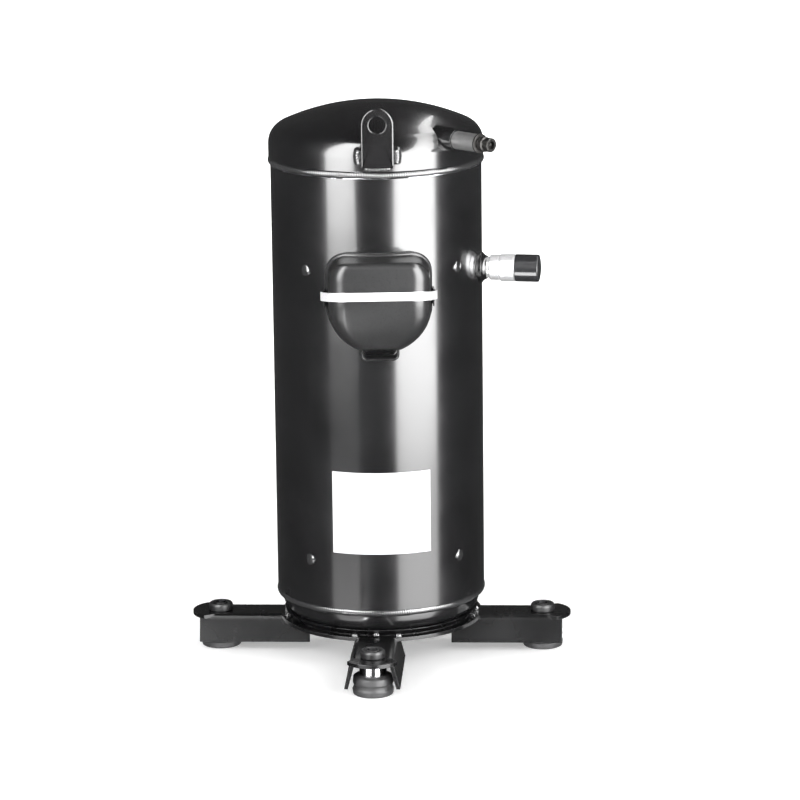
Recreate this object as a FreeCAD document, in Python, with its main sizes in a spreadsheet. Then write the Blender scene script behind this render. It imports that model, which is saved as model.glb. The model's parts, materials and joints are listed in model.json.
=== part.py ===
"""Hermetic scroll compressor for refrigeration, as a parametric document.

Frame: the origin lies on the shell axis in the plane the rubber feet stand on, +Z is up and
-Y is the front. An azimuth is measured about +Z from the front towards +X, in degrees.
"""
import FreeCAD, Part
import math
import os
from types import SimpleNamespace

import Sketcher

Vector = FreeCAD.Vector

# The driving dimensions: a word, a value in millimetres or degrees, and what it measures.
SIZES = """
shell_radius 86 outside of the shell tube
shell_wall 4 thickness of the shell tube
shell_bottom 54 lower end of the shell tube
shell_top 409.5 upper end of the shell tube
rim_top 415.5 top of the separator plate rim
bead_rise 1.9 how far the top weld bead stands out of the shell
cap_radius 87.5 outside of the top cap skirt
cap_wall 4 thickness of the top cap
cap_turn_level 426.3 where the cap skirt turns into the knuckle
cap_knuckle 18 outer radius of the cap knuckle
cap_apex 459 top of the dome
bowl_radius 81.9 outside of the bottom bowl
bowl_wall 4 thickness of the bottom bowl
bowl_top 66 upper edge of the bowl inside the shell
bowl_turn_level 47 where the bowl skirt turns into the knuckle
bowl_knuckle 16 outer radius of the bowl knuckle
bowl_apex 27 lowest point of the bowl
weld_azimuth 51.5 azimuth of one plug weld of four
weld_low 92.4 level of the lower ring of plug welds
weld_high 332.4 level of the upper ring of plug welds
weld_radius 4 radius of a plug weld
front_azimuth 4 azimuth of the cover, lug and nameplate
base_plate 3 thickness of the base frame sheet
base_top 30 top of the base frame sheet
base_ring_radius 83.6 outside of the disc between the arms
seat_top 35.5 top of the rim that seats the bowl
seat_rim 77.5 radius inside that rim at its top
seat_root 69.9 radius inside that rim at its root
seat_level 31.2 level of that root
seat_foot 75.5 radius outside that rim on the sheet
base_hole 58.5 radius of the hole under the bowl
arm_half 16.5 half width of an arm at its top
arm_low_half 22.5 half width of an arm at its lower edges
arm_skirt 8 lower edge of the arm side flanges
arm_end 151 reach of the side flanges
brim_start 139 reach where the tip starts to widen
brim_half 20 half width of the widened tip
brim_wide 147 reach where the tip is widest
arm_tip 158 reach of the rounded tip
arm_tip_radius 23.68 radius of the rounded tip
mount_reach 134.7 reach of a mounting hole from the axis
mount_bore 4.25 bore radius of a mounting sleeve
sleeve_radius 6 outside of a mounting sleeve
foot_radius 16.8 outside of a rubber foot
foot_top 16.5 top of a rubber foot
collar_radius 11 outside of the collar above a foot
mount_cap_radius 10 outside of the rubber cap above the arm
mount_cap_top 36.5 top of that rubber cap
lug_half 13.2 half width of the lifting lug
lug_bottom 419 lower end of the lug
lug_hole_level 453.5 level of the lug hole
lug_hole 6.6 radius of the lug hole
lug_thickness 5 thickness of the lug
plate_angle 54.6 angle that the nameplate covers
plate_bottom 101.5 lower edge of the nameplate
plate_height 68 height of the nameplate
terminal_level 312 centre of the hermetic terminal
terminal_radius 17.2 outside of the terminal cup
pin_circle 7.5 radius of the circle of the three pins
pin_radius 1.6 radius of a terminal pin
glass_radius 3.2 radius of a glass seal
cover_half 40.5 half width of the terminal cover
cover_top 348 top of the terminal cover
cover_bottom 274 bottom of the terminal cover
cover_front 120 reach of the cover face
cover_wall 2.2 thickness of the cover wall
cover_corner 15 radius of the upper corners seen from the front
cover_edge 17 radius of the upright front edges
cover_side_low 303 where the straight sides end
cover_foot_half 16.3 half width of the flat bottom
cover_sweep 41 radius of the lower sides
cover_slope_level 316 where the face starts to lean back
cover_slope_reach 104 reach of the face at the bottom
cover_slope_radius 75 radius of the leaning face
cover_seat 88.4 radius of the back edge of the cover
flange_out 2.1 how far the cover flange stands out
flange_depth 2.6 thickness of the cover flange
spout_half 13.5 half width of the cable outlet
spout_bottom 267.5 lower edge of the cable outlet
spout_reach 102 reach of the cable outlet
strap_height 6.8 height of the strap
strap_thick 1.2 thickness of the strap
strap_tilt 10 how far the strap slopes down to its ends
strap_level 296.9 level of the strap plane on the axis
strap_front 124.1 reach of the strap inside, in its own plane
strap_side 41.3 half width inside the strap at the front edge
strap_mid 44.6 half width inside the strap at the flange
strap_end 45.6 half width inside the strap at its ends
strap_end_reach 76 reach of the ends
suction_azimuth 83.2 azimuth of the suction port
suction_level 323.6 level of the suction port
suction_bore 6.5 bore radius of the suction fitting
suction_neck 8.5 radius of the tube through the shell
suction_nut 10.2 radius of the first shoulder
suction_head 11.2 radius of the head and of the dust cap
suction_head_end 114.3 reach of the head
suction_spigot 9 radius of the end that the dust cap covers
dust_cap_end 135 reach of the dust cap
discharge_azimuth 47 azimuth of the discharge port
discharge_level 437 level of the discharge port
discharge_radius 7.2 outside of the discharge stub
discharge_bore 5.6 bore radius of the discharge stub
discharge_collar 10 outside of the discharge collar
discharge_stub_end 118 reach of the stub
valve_end 132 reach of the service valve
throw 4.2 crank throw of the orbiting scroll
wrap_pitch 17 radial pitch of the scroll walls
wrap_thick 4 thickness of the scroll walls
wrap_height 28.2 height of the scroll walls
wrap_start 3.6 involute angle at the inner end, in radians
wrap_end 20.4 involute angle at the outer end, in radians
tip_gap 0.4 gap at the tips of the scroll walls
orbit_bottom 344.2 underside of the orbiting plate
orbit_plate 8 thickness of the orbiting plate
orbit_radius 60 radius of the orbiting plate
fixed_bottom 344 underside of the fixed scroll
fixed_plate_top 396.8 top of the fixed scroll plate
fixed_radius 78 outside of the fixed scroll
fixed_inner 67 inside of the fixed scroll ring
hub_radius 20 outside of the discharge hub
hub_top 418 top of the discharge hub
port_radius 5 radius of the discharge port
seal_neck 2 wall of the floating seal round the hub
guard_neck 12 outside of the valve guard above its foot
guard_foot 17.5 outside of the foot of the valve guard
bolt_circle 73 radius of the circle of scroll bolts
bolt_radius 3.2 radius of a scroll bolt
thread_depth 4 how deep a scroll bolt goes below the deck
frame_radius 81.95 outside of the frames where they meet the shell
frame_body 62 radius of the main frame body
frame_low 318 underside of the main frame body
frame_deck 338 deck of the main frame
thrust_inner 28 inside of the thrust ring
thrust_outer 38 outside of the thrust ring
well_floor 322 floor of the well in the main frame
main_hub 26 outside of the main bearing hub
main_hub_low 288 lower end of the main bearing hub
main_journal 15 radius of the main journal
lower_journal 10 radius of the lower journal
crank_pin 10 radius of the crank pin
bush_wall 3 thickness of a bearing bush
running_gap 0.06 radial clearance in the bearings
oldham_inner 46 inside of the Oldham ring
oldham_outer 55 outside of the Oldham ring
oldham_half_key 3 half width of a key
oldham_low 338.5 underside of the Oldham ring
oldham_high 343.2 top of the Oldham ring
key_slack 2.4 room beside a key in its slot
shaft_radius 13 radius of the shaft in the rotor
shaft_bottom 62 lower end of the shaft
shaft_shoulder 105.2 shoulder over the thrust washer
journal_low 286 lower end of the main journal
journal_high 323 upper end of the main journal
oil_bore 2.5 radius of the oil bore
rotor_radius 39.6 outside of the rotor
rotor_low 152 lower face of the rotor core
rotor_high 248 upper face of the rotor core
end_ring 8 height of a rotor end ring
end_ring_inner 27 inside of a rotor end ring
weight_height 17 height of a balance weight
stator_inner 40.2 bore of the stator
stator_low 150 lower face of the stator
stator_high 250 upper face of the stator
slot_inner 46 where the wide part of a slot starts
slot_outer 68 where a slot ends
slot_half 2.6 half width of a slot
slot_mouth 1.2 half width of a slot mouth
slot_count 24 number of slots
end_turn 26 height of the winding outside the core
lower_hub_low 84 lower end of the lower bearing hub
lower_hub_high 103.5 upper end of the lower bearing hub
lower_arm_half 10 half width of a lower frame arm
"""


class Size:
    """A dimension: its value now, and the sheet expression that keeps it bound."""

    def __init__(self, value, text=None):
        self.value = float(value)
        self.text = text or repr(float(value))

    def joined(self, sign, other, value):
        return Size(value, "(%s %s %s)" % (self.text, sign, as_size(other).text))

    def __add__(self, other):
        return self.joined("+", other, self.value + as_size(other).value)

    def __sub__(self, other):
        return self.joined("-", other, self.value - as_size(other).value)

    def __mul__(self, other):
        return self.joined("*", other, self.value * as_size(other).value)

    def __truediv__(self, other):
        return self.joined("/", other, self.value / as_size(other).value)

    def __neg__(self):
        return Size(-self.value, "(-%s)" % self.text)

    def __radd__(self, other):
        return as_size(other) + self

    def __rsub__(self, other):
        return as_size(other) - self

    def __rmul__(self, other):
        return as_size(other) * self


def as_size(amount):
    return amount if isinstance(amount, Size) else Size(amount)


def read_sizes(doc):
    """Write the driving dimensions into the sheet and return them by name."""
    sheet = doc.addObject("Spreadsheet::Sheet", "Sizes")
    sizes = SimpleNamespace()
    for row, line in enumerate(SIZES.strip().splitlines(), 1):
        word, value, meaning = line.split(" ", 2)
        sheet.set("A%d" % row, meaning)
        sheet.set("B%d" % row, value)
        sheet.setAlias("B%d" % row, word)
        setattr(sizes, word, Size(value, "Sizes." + word))
    doc.recompute()
    return sizes


doc = FreeCAD.newDocument("compressor")
mm = read_sizes(doc)

QUARTERS = [0, 90, 180, 270]
WELDS = [mm.weld_azimuth + quarter for quarter in QUARTERS]
SLACK = 1  # how far a cutting tool runs past the face it cuts


# Building blocks


def bind(item, path, amount):
    """Bind a property to an expression on the sheet."""
    item.setExpression(path, as_size(amount).text)


def place(item, x=0, y=0, z=0, azimuth=0):
    """Bind a placement: moved to x, y, z and turned about +Z."""
    spot = "; ".join(as_size(amount).text for amount in (x, y, z))
    turn = as_size(azimuth).text
    item.setExpression(
        "Placement", "placement(vector(%s); rotation(vector(0; 0; 1); %s))" % (spot, turn)
    )
    return item


def new_sketch(body, role, offset=0, tilt=0):
    """A sketch on an origin plane, moved along its normal and tilted about its x axis."""
    sketch = body.newObject("Sketcher::SketchObject", body.Label + "_sketch")
    plane = next(item for item in body.Origin.OriginFeatures if item.Role == role)
    sketch.AttachmentSupport = (plane, [""])
    sketch.MapMode = "FlatFace"
    sketch.setExpression(
        "AttachmentOffset",
        "placement(vector(0; 0; %s); rotation(vector(1; 0; 0); %s))"
        % (as_size(offset).text, as_size(tilt).text),
    )
    return sketch


def arc_between(start, end, radius):
    """The minor arc from start to end; a negative radius travels clockwise."""
    chord = end - start
    rise = math.sqrt(max(radius * radius - chord.Length * chord.Length / 4, 0))
    normal = Vector(-chord.y, chord.x, 0).normalize()
    centre = (start + end) / 2 + normal * math.copysign(rise, radius)
    circle = Part.Circle(centre, Vector(0, 0, 1), abs(radius))
    first, last = (start, end) if radius > 0 else (end, start)
    angles = [math.atan2(p.y - centre.y, p.x - centre.x) for p in (first, last)]
    return Part.ArcOfCircle(circle, angles[0], angles[1])


def pin_point(sketch, edge, which, x, y):
    """Fix one end, or the centre, of an edge at x, y from the sketch origin."""
    for kind, amount in (("DistanceX", as_size(x)), ("DistanceY", as_size(y))):
        row = sketch.addConstraint(Sketcher.Constraint(kind, -1, 1, edge, which, amount.value))
        bind(sketch, "Constraints[%d]" % row, amount)


def set_radius(sketch, edge, radius):
    row = sketch.addConstraint(Sketcher.Constraint("Radius", edge, abs(radius.value)))
    bind(sketch, "Constraints[%d]" % row, radius if radius.value > 0 else -radius)


def draw(sketch, points):
    """A closed loop through (x, y) or (x, y, radius of the arc that arrives there)."""
    spots = [Vector(as_size(p[0]).value, as_size(p[1]).value, 0) for p in points]
    ends = []
    for index, point in enumerate(points):
        start, end = spots[index - 1], spots[index]
        if len(point) == 2:
            edge = sketch.addGeometry(Part.LineSegment(start, end), False)
            ends.append((edge, 1, 2))
            continue
        radius = as_size(point[2])
        edge = sketch.addGeometry(arc_between(start, end, radius.value), False)
        ends.append((edge, 1, 2) if radius.value > 0 else (edge, 2, 1))
        set_radius(sketch, edge, radius)
    for index, point in enumerate(points):
        edge, _, head = ends[index]
        after, tail, _ = ends[(index + 1) % len(points)]
        sketch.addConstraint(Sketcher.Constraint("Coincident", edge, head, after, tail))
        pin_point(sketch, edge, head, point[0], point[1])


def draw_circle(sketch, x, y, radius):
    centre = Vector(as_size(x).value, as_size(y).value, 0)
    circle = Part.Circle(centre, Vector(0, 0, 1), as_size(radius).value)
    edge = sketch.addGeometry(circle, False)
    pin_point(sketch, edge, 3, x, y)
    set_radius(sketch, edge, as_size(radius))


def revolved(name, role, points, **where):
    body = doc.addObject("PartDesign::Body", name)
    sketch = new_sketch(body, role)
    draw(sketch, points)
    turn = body.newObject("PartDesign::Revolution", name + "_turn")
    turn.Profile = sketch
    turn.ReferenceAxis = (sketch, ["V_Axis"])
    turn.Angle = 360
    return place(body, **where)


def turned(name, points, **where):
    """A body turned about +Z from a profile of (radius, level)."""
    return revolved(name, "XZ_Plane", points, **where)


def turned_out(name, points, **where):
    """A body turned about the front direction from a profile of (radius, reach)."""
    mirrored = []
    for point in points:
        bend = [-as_size(point[2])] if len(point) == 3 else []
        mirrored.append((point[0], -as_size(point[1]), *bend))
    return revolved(name, "XY_Plane", mirrored, **where)


def padded(name, role, outlines, start, length, tilt=0, **where):
    """A prism along the normal of an origin plane: up, forwards or to the right."""
    body = doc.addObject("PartDesign::Body", name)
    sketch = new_sketch(body, role, start, tilt)
    for points in outlines:
        draw(sketch, points)
    pad = body.newObject("PartDesign::Pad", name + "_pad")
    pad.Profile = sketch
    bind(pad, "Length", length)
    return place(body, **where)


def rod_out(name, radius, start, end, x=0, level=0, azimuth=0):
    """A round rod that points outwards at an azimuth, from one reach to another."""
    body = doc.addObject("PartDesign::Body", name)
    sketch = new_sketch(body, "XZ_Plane", start)
    draw_circle(sketch, x, 0, radius)
    pad = body.newObject("PartDesign::Pad", name + "_pad")
    pad.Profile = sketch
    bind(pad, "Length", end - start)
    return place(body, z=level, azimuth=azimuth)


def block(name, wide, deep, tall, **where):
    """A box between pairs of limits along X, Y and Z."""
    left, right = wide
    front, back = deep
    corners = [(left, front), (right, front), (right, back), (left, back)]
    return padded(name, "XY_Plane", [corners], tall[0], tall[1] - tall[0], **where)


def disc(name, radius, bottom, top, x=0, y=0, azimuth=0):
    item = doc.addObject("Part::Cylinder", name)
    bind(item, "Radius", radius)
    bind(item, "Height", top - bottom)
    return place(item, x, y, bottom, azimuth)


def ring(name, inner, outer, bottom, top, **where):
    corners = [(inner, bottom), (outer, bottom), (outer, top), (inner, top)]
    return turned(name, corners, **where)


def fuse(name, *items):
    item = doc.addObject("Part::MultiFuse", name)
    item.Shapes = list(items)
    return item


def cut(name, base, *tools):
    item = doc.addObject("Part::Cut", name)
    item.Base = base
    item.Tool = tools[0] if len(tools) == 1 else fuse(name + "_tools", *tools)
    return item


def common(name, *items):
    item = doc.addObject("Part::MultiCommon", name)
    item.Shapes = list(items)
    return item


def group(name, *items):
    """Identical pieces that share one node."""
    item = doc.addObject("Part::Compound", name)
    item.Links = list(items)
    return item


def around(name, azimuths, make):
    """One piece per azimuth, made by a function of a name and an azimuth."""
    return [make("%s_%d" % (name, n), azimuth) for n, azimuth in enumerate(azimuths, 1)]


def at_reach(reach, quarter):
    """x and y of a point at a reach on the front, right, rear or left arm."""
    across, along = [(0, -1), (1, 0), (0, 1), (-1, 0)][quarter]
    return reach * across, reach * along


# Pressure shell


def dish_profile(radius, level, knuckle, apex, wall, side):
    """Points of a dished end from its outer skirt to the axis, offset inwards by wall.

    side is 1 for a dome and -1 for a bowl. The crown is tangent to the knuckle.
    """
    span = radius - knuckle
    depth = (apex - level) * side
    crown = (span * span + depth * depth - knuckle * knuckle) / (2 * (depth - knuckle))
    centre = apex - crown * side
    share = (crown - wall) / (crown - knuckle)
    tangent = (span * share, centre + (level - centre) * share)
    return [
        (radius - wall, level),
        (tangent[0], tangent[1], (knuckle - wall) * side),
        (0, apex - wall * side, (crown - wall) * side),
    ]


def dish(name, radius, edge, level, knuckle, apex, wall, side):
    outer = dish_profile(radius, level, knuckle, apex, 0, side)
    inner = dish_profile(radius, level, knuckle, apex, wall, side)
    back = [(inner[2][0], inner[2][1])]
    back.append((inner[1][0], inner[1][1], -inner[2][2]))
    back.append((inner[0][0], inner[0][1], -inner[1][2]))
    return turned(name, [(radius - wall, edge), (radius, edge)] + outer + back)


def dome_solid(name):
    """The space that the top cap takes up, as a closed solid."""
    outer = dish_profile(
        mm.cap_radius, mm.cap_turn_level, mm.cap_knuckle, mm.cap_apex, 0, 1
    )
    return turned(name, [(0, mm.rim_top), (mm.cap_radius, mm.rim_top)] + outer)


def make_shell():
    tube = ring(
        "shell_tube",
        mm.shell_radius - mm.shell_wall,
        mm.shell_radius,
        mm.shell_bottom,
        mm.shell_top,
    )
    reach = (mm.shell_radius - 20, mm.shell_radius + SLACK)
    holes = [
        rod_out(
            "terminal_hole",
            mm.terminal_radius,
            *reach,
            level=mm.terminal_level,
            azimuth=mm.front_azimuth,
        ),
        rod_out(
            "suction_hole",
            mm.suction_neck,
            *reach,
            level=mm.suction_level,
            azimuth=mm.suction_azimuth,
        ),
    ]
    for level in (mm.weld_low, mm.weld_high):
        holes += around(
            "weld_hole",
            WELDS,
            lambda name, azimuth: rod_out(
                name, mm.weld_radius, *reach, level=level, azimuth=azimuth
            ),
        )
    return [cut("shell_body", tube, *holes)]


def make_plug_welds():
    """Weld metal that fills each hole and leaves a shallow dimple."""
    root = mm.shell_radius - mm.shell_wall + 0.1
    face = mm.shell_radius + 0.6
    floor = face - 0.9
    edge = mm.shell_radius - 0.2
    lip_radius, dimple_radius = mm.weld_radius - 1, mm.weld_radius - 2.4
    profile = [
        (0, root),
        (mm.weld_radius, root),
        (mm.weld_radius, edge),
        (lip_radius, face),
        (dimple_radius, floor),
        (0, floor),
    ]

    def plug(name, azimuth):
        return turned_out(name, profile, z=level, azimuth=azimuth)

    plugs = []
    for level in (mm.weld_low, mm.weld_high):
        plugs += around("plug_weld", WELDS, plug)
    return [group("plug_welds", *plugs)]


def make_top_cap():
    skin = dish(
        "top_cap_skin",
        mm.cap_radius,
        mm.rim_top,
        mm.cap_turn_level,
        mm.cap_knuckle,
        mm.cap_apex,
        mm.cap_wall,
        1,
    )
    hole = rod_out(
        "discharge_hole",
        mm.discharge_radius,
        mm.cap_radius - 30,
        mm.cap_radius + SLACK,
        level=mm.discharge_level,
        azimuth=mm.discharge_azimuth,
    )
    return [cut("top_cap", skin, hole)]


def make_bottom_bowl():
    return [
        dish(
            "bottom_bowl",
            mm.bowl_radius,
            mm.bowl_top,
            mm.bowl_turn_level,
            mm.bowl_knuckle,
            mm.bowl_apex,
            mm.bowl_wall,
            -1,
        )
    ]


def make_separator():
    bore = mm.hub_radius + mm.seal_neck + 0.1
    return [ring("separator_plate", bore, mm.shell_radius, mm.shell_top, mm.rim_top)]


def make_seam_welds():
    clear = 0.02
    toe, foot = 0.1, 0.7
    rim = mm.shell_radius + clear
    shoulder = rim + mm.bead_rise - 0.9
    bulge = 5
    top = [
        (rim, mm.shell_top + toe),
        (shoulder, mm.shell_top + foot),
        (shoulder, mm.rim_top - foot, bulge),
        (rim, mm.rim_top - toe),
    ]
    inside = mm.bowl_radius + clear
    leg, face, lip = 4.6, 4.2, 0.9
    bottom = [
        (inside, mm.shell_bottom - leg),
        (mm.shell_radius + 0.6, mm.shell_bottom - lip, face),
        (mm.shell_radius, mm.shell_bottom),
        (inside, mm.shell_bottom),
    ]
    return [turned("top_seam_weld", top), turned("bottom_seam_weld", bottom)]


# Base frame and mounts


def make_base_frame():
    """A pressed cross: a disc with a rim that seats the bowl, and four channels that open down."""
    sheet_low = mm.base_top - mm.base_plate
    seat_gap = 0.3
    centre = turned(
        "base_ring",
        [
            (mm.base_hole, sheet_low),
            (mm.base_ring_radius, sheet_low),
            (mm.base_ring_radius, mm.base_top),
            (mm.seat_foot, mm.base_top),
            (mm.seat_rim + mm.base_plate, mm.seat_top),
            (mm.seat_rim, mm.seat_top),
            (mm.seat_root, mm.seat_level, -(mm.bowl_knuckle.value + seat_gap)),
            (mm.seat_root, mm.base_top),
            (mm.base_hole, mm.base_top),
        ],
    )
    flare = mm.arm_low_half - mm.arm_half
    tall = mm.base_top - mm.arm_skirt
    lean = math.atan2(flare.value, tall.value)
    shift = mm.base_plate / math.cos(lean)

    def bent_corner(x, level, radius):
        """Where a bend of the sheet starts and ends, beside the corner at x and level."""
        run = radius * math.tan(math.pi / 4 - lean / 2)
        return (x + run * math.sin(lean), level - run * math.cos(lean)), (x - run, level)

    bend = 5
    inner_bend = 2
    inner_x = mm.arm_half + mm.base_plate * math.tan(lean) - shift
    outer_side, outer_top = bent_corner(mm.arm_half, mm.base_top, bend)
    inner_side, inner_top = bent_corner(inner_x, sheet_low, inner_bend)
    channel = [
        (-mm.arm_low_half, mm.arm_skirt),
        (-mm.arm_low_half + shift, mm.arm_skirt),
        (-inner_side[0], inner_side[1]),
        (-inner_top[0], inner_top[1], -inner_bend),
        (inner_top[0], inner_top[1]),
        (inner_side[0], inner_side[1], -inner_bend),
        (mm.arm_low_half - shift, mm.arm_skirt),
        (mm.arm_low_half, mm.arm_skirt),
        (outer_side[0], outer_side[1]),
        (outer_top[0], outer_top[1], bend),
        (-outer_top[0], outer_top[1]),
        (-outer_side[0], outer_side[1], bend),
    ]
    start = mm.base_hole + 0.5
    neck = mm.arm_half - 1
    tip = [
        (-neck, -mm.brim_start),
        (-mm.brim_half, -mm.brim_wide),
        (0, -mm.arm_tip, mm.arm_tip_radius),
        (mm.brim_half, -mm.brim_wide, mm.arm_tip_radius),
        (neck, -mm.brim_start),
    ]

    def arm(name, quarter):
        reach = mm.arm_end - start
        beam = padded(name + "_beam", "XZ_Plane", [channel], start, reach, azimuth=quarter)
        end = padded(name + "_tip", "XY_Plane", [tip], sheet_low, mm.base_plate, azimuth=quarter)
        return fuse(name, beam, end)

    holes = []
    for quarter in range(4):
        x, y = at_reach(mm.mount_reach, quarter)
        radius = mm.sleeve_radius + seat_gap
        hole = disc("sleeve_hole", radius, sheet_low - SLACK, mm.base_top + SLACK, x=x, y=y)
        holes.append(hole)
    cross = fuse("base_cross", centre, *around("base_arm", QUARTERS, arm))
    return [cut("base_frame", cross, *holes)]


def make_base_welds():
    """Short beads in the corner between the arms and the rim that seats the bowl."""
    bead = 2.6
    spread = 13
    reach = mm.seat_foot + bead + 1.2
    beads = []
    for turn in (-spread, 0, spread):
        for quarter in QUARTERS:
            blob = doc.addObject("Part::Sphere", "base_bead")
            bind(blob, "Radius", bead)
            blob.Angle1 = 0
            place(blob, y=-reach, z=mm.base_top)
            beads.append(place(group("base_bead_turned", blob), azimuth=quarter + turn))
    return [group("base_welds", *beads)]


def make_mounts():
    """On each arm: a rubber foot, a zinc collar, a rubber cap and a steel sleeve."""
    clear = mm.sleeve_radius + 0.1
    sheet_low = mm.base_top - mm.base_plate
    waist = mm.foot_radius - 1.2
    slope = 1.2
    waist_low, waist_high = 7.2, 9.4
    toe, shoulder = 1.5, 2
    foot = [
        (clear, 0),
        (mm.foot_radius - toe, 0),
        (mm.foot_radius, toe, toe),
        (mm.foot_radius, waist_low - slope),
        (waist, waist_low),
        (waist, waist_high),
        (mm.foot_radius, waist_high + slope),
        (mm.foot_radius, mm.foot_top - shoulder),
        (mm.foot_radius - shoulder, mm.foot_top, shoulder),
        (clear, mm.foot_top),
    ]
    crown = 3
    cap = [
        (clear, mm.base_top),
        (mm.mount_cap_radius, mm.base_top),
        (mm.mount_cap_radius, mm.mount_cap_top - crown),
        (mm.mount_cap_radius - crown, mm.mount_cap_top, crown),
        (clear, mm.mount_cap_top),
    ]
    feet, collars, caps, sleeves = [], [], [], []
    for quarter in range(4):
        x, y = at_reach(mm.mount_reach, quarter)
        feet.append(turned("foot", foot, x=x, y=y))
        collars.append(ring("collar", clear, mm.collar_radius, mm.foot_top, sheet_low, x=x, y=y))
        caps.append(turned("cap", cap, x=x, y=y))
        sleeves.append(
            ring("sleeve", mm.mount_bore, mm.sleeve_radius, 0, mm.mount_cap_top, x=x, y=y)
        )
    return [
        group("rubber_feet", *feet),
        group("mount_collars", *collars),
        group("mount_caps", *caps),
        group("mount_sleeves", *sleeves),
    ]


# Outside of the shell


def make_lifting_lug():
    half = mm.lug_half
    outline = [
        (-half, mm.lug_bottom),
        (half, mm.lug_bottom),
        (half, mm.lug_hole_level),
        (0, mm.lug_hole_level + half, half),
        (-half, mm.lug_hole_level, half),
    ]
    gap = 0.2
    back = mm.cap_radius + gap
    tongue = padded(
        "lug_tongue", "XZ_Plane", [outline], back, mm.lug_thickness, azimuth=mm.front_azimuth
    )
    hole = rod_out(
        "lug_hole",
        mm.lug_hole,
        back - SLACK,
        back + mm.lug_thickness + SLACK,
        level=mm.lug_hole_level,
        azimuth=mm.front_azimuth,
    )
    return [cut("lifting_lug", tongue, hole)]


def make_lug_weld():
    """Two upright fillet beads beside the lug and one under it."""
    bead = 2.2
    sunk = 1.2
    reach = mm.cap_radius + bead - sunk
    side = mm.lug_half + bead
    tall = 14
    beads = []
    for across in (-side, side):
        outline = [
            (0, mm.lug_bottom),
            (bead, mm.lug_bottom + bead, bead),
            (bead, mm.lug_bottom + tall),
            (0, mm.lug_bottom + tall + bead, bead),
        ]
        upright = turned("lug_bead_side", outline, x=across, y=-reach)
        beads.append(upright)
    half, depth = 10, 2.6
    end = padded(
        "lug_bead_end",
        "XZ_Plane",
        [[(-half, -bead), (half, -bead), (half, 0), (-half, 0)]],
        mm.cap_radius + 0.1,
        depth,
        z=mm.lug_bottom,
    )
    beads.append(end)
    return [place(group("lug_weld", *beads), azimuth=mm.front_azimuth)]


def make_nameplate():
    """A thin plate bent round the shell."""
    names = ("nameplate_outer", "nameplate_inner")
    radii = (mm.shell_radius + 0.35, mm.shell_radius + 0.05)
    sectors = []
    for name, radius in zip(names, radii):
        sector = disc(
            name,
            radius,
            mm.plate_bottom,
            mm.plate_bottom + mm.plate_height,
            azimuth=mm.front_azimuth - 90 - mm.plate_angle / 2,
        )
        bind(sector, "Angle", mm.plate_angle)
        sectors.append(sector)
    return [cut("nameplate", *sectors)]


def make_suction_port():
    where = {"z": mm.suction_level, "azimuth": mm.suction_azimuth}
    shoulder = mm.shell_radius + 5.2
    nut = shoulder + 2
    head = nut + 8.6
    chamfer = 0.8
    sunk = mm.shell_radius - 9
    spigot_end = mm.dust_cap_end - 6
    root = mm.shell_radius - 4
    collar_foot = mm.suction_neck + 4.4
    collar_side, collar_level = mm.suction_neck + 4, mm.shell_radius + 1.2
    collar_lip = mm.suction_neck + 0.9
    hollow = 6
    collar = turned_out(
        "suction_collar_blank",
        [
            (mm.suction_neck, root),
            (collar_foot, root),
            (collar_side, collar_level),
            (collar_lip, shoulder, -hollow),
            (mm.suction_neck, shoulder),
        ],
        **where,
    )
    shell = disc("shell_space_suction", mm.shell_radius, mm.weld_low, mm.shell_top)
    bore = mm.suction_bore
    fitting = turned_out(
        "suction_fitting",
        [
            (bore, sunk),
            (mm.suction_neck, sunk),
            (mm.suction_neck, nut),
            (mm.suction_nut - chamfer, nut),
            (mm.suction_nut, nut + chamfer),
            (mm.suction_nut, head - chamfer),
            (mm.suction_nut - chamfer, head),
            (mm.suction_head - chamfer, head),
            (mm.suction_head, head + chamfer),
            (mm.suction_head, mm.suction_head_end - chamfer),
            (mm.suction_head - chamfer, mm.suction_head_end),
            (mm.suction_spigot, mm.suction_head_end),
            (mm.suction_spigot, spigot_end),
            (bore, spigot_end),
        ],
        **where,
    )
    fit_gap = 0.3
    bore = mm.suction_spigot + fit_gap
    start = mm.suction_head_end + fit_gap
    corner = 1.2
    crown = 38
    inside_end = mm.dust_cap_end - 4.2
    cap = turned_out(
        "suction_dust_cap",
        [
            (bore, start),
            (mm.suction_head, start),
            (mm.suction_head, mm.dust_cap_end - 2 * corner),
            (mm.suction_head - corner, mm.dust_cap_end - corner, corner),
            (0, mm.dust_cap_end, crown),
            (0, inside_end),
            (bore, inside_end),
        ],
        **where,
    )
    return [cut("suction_collar", collar, shell), fitting, cap]


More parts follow.
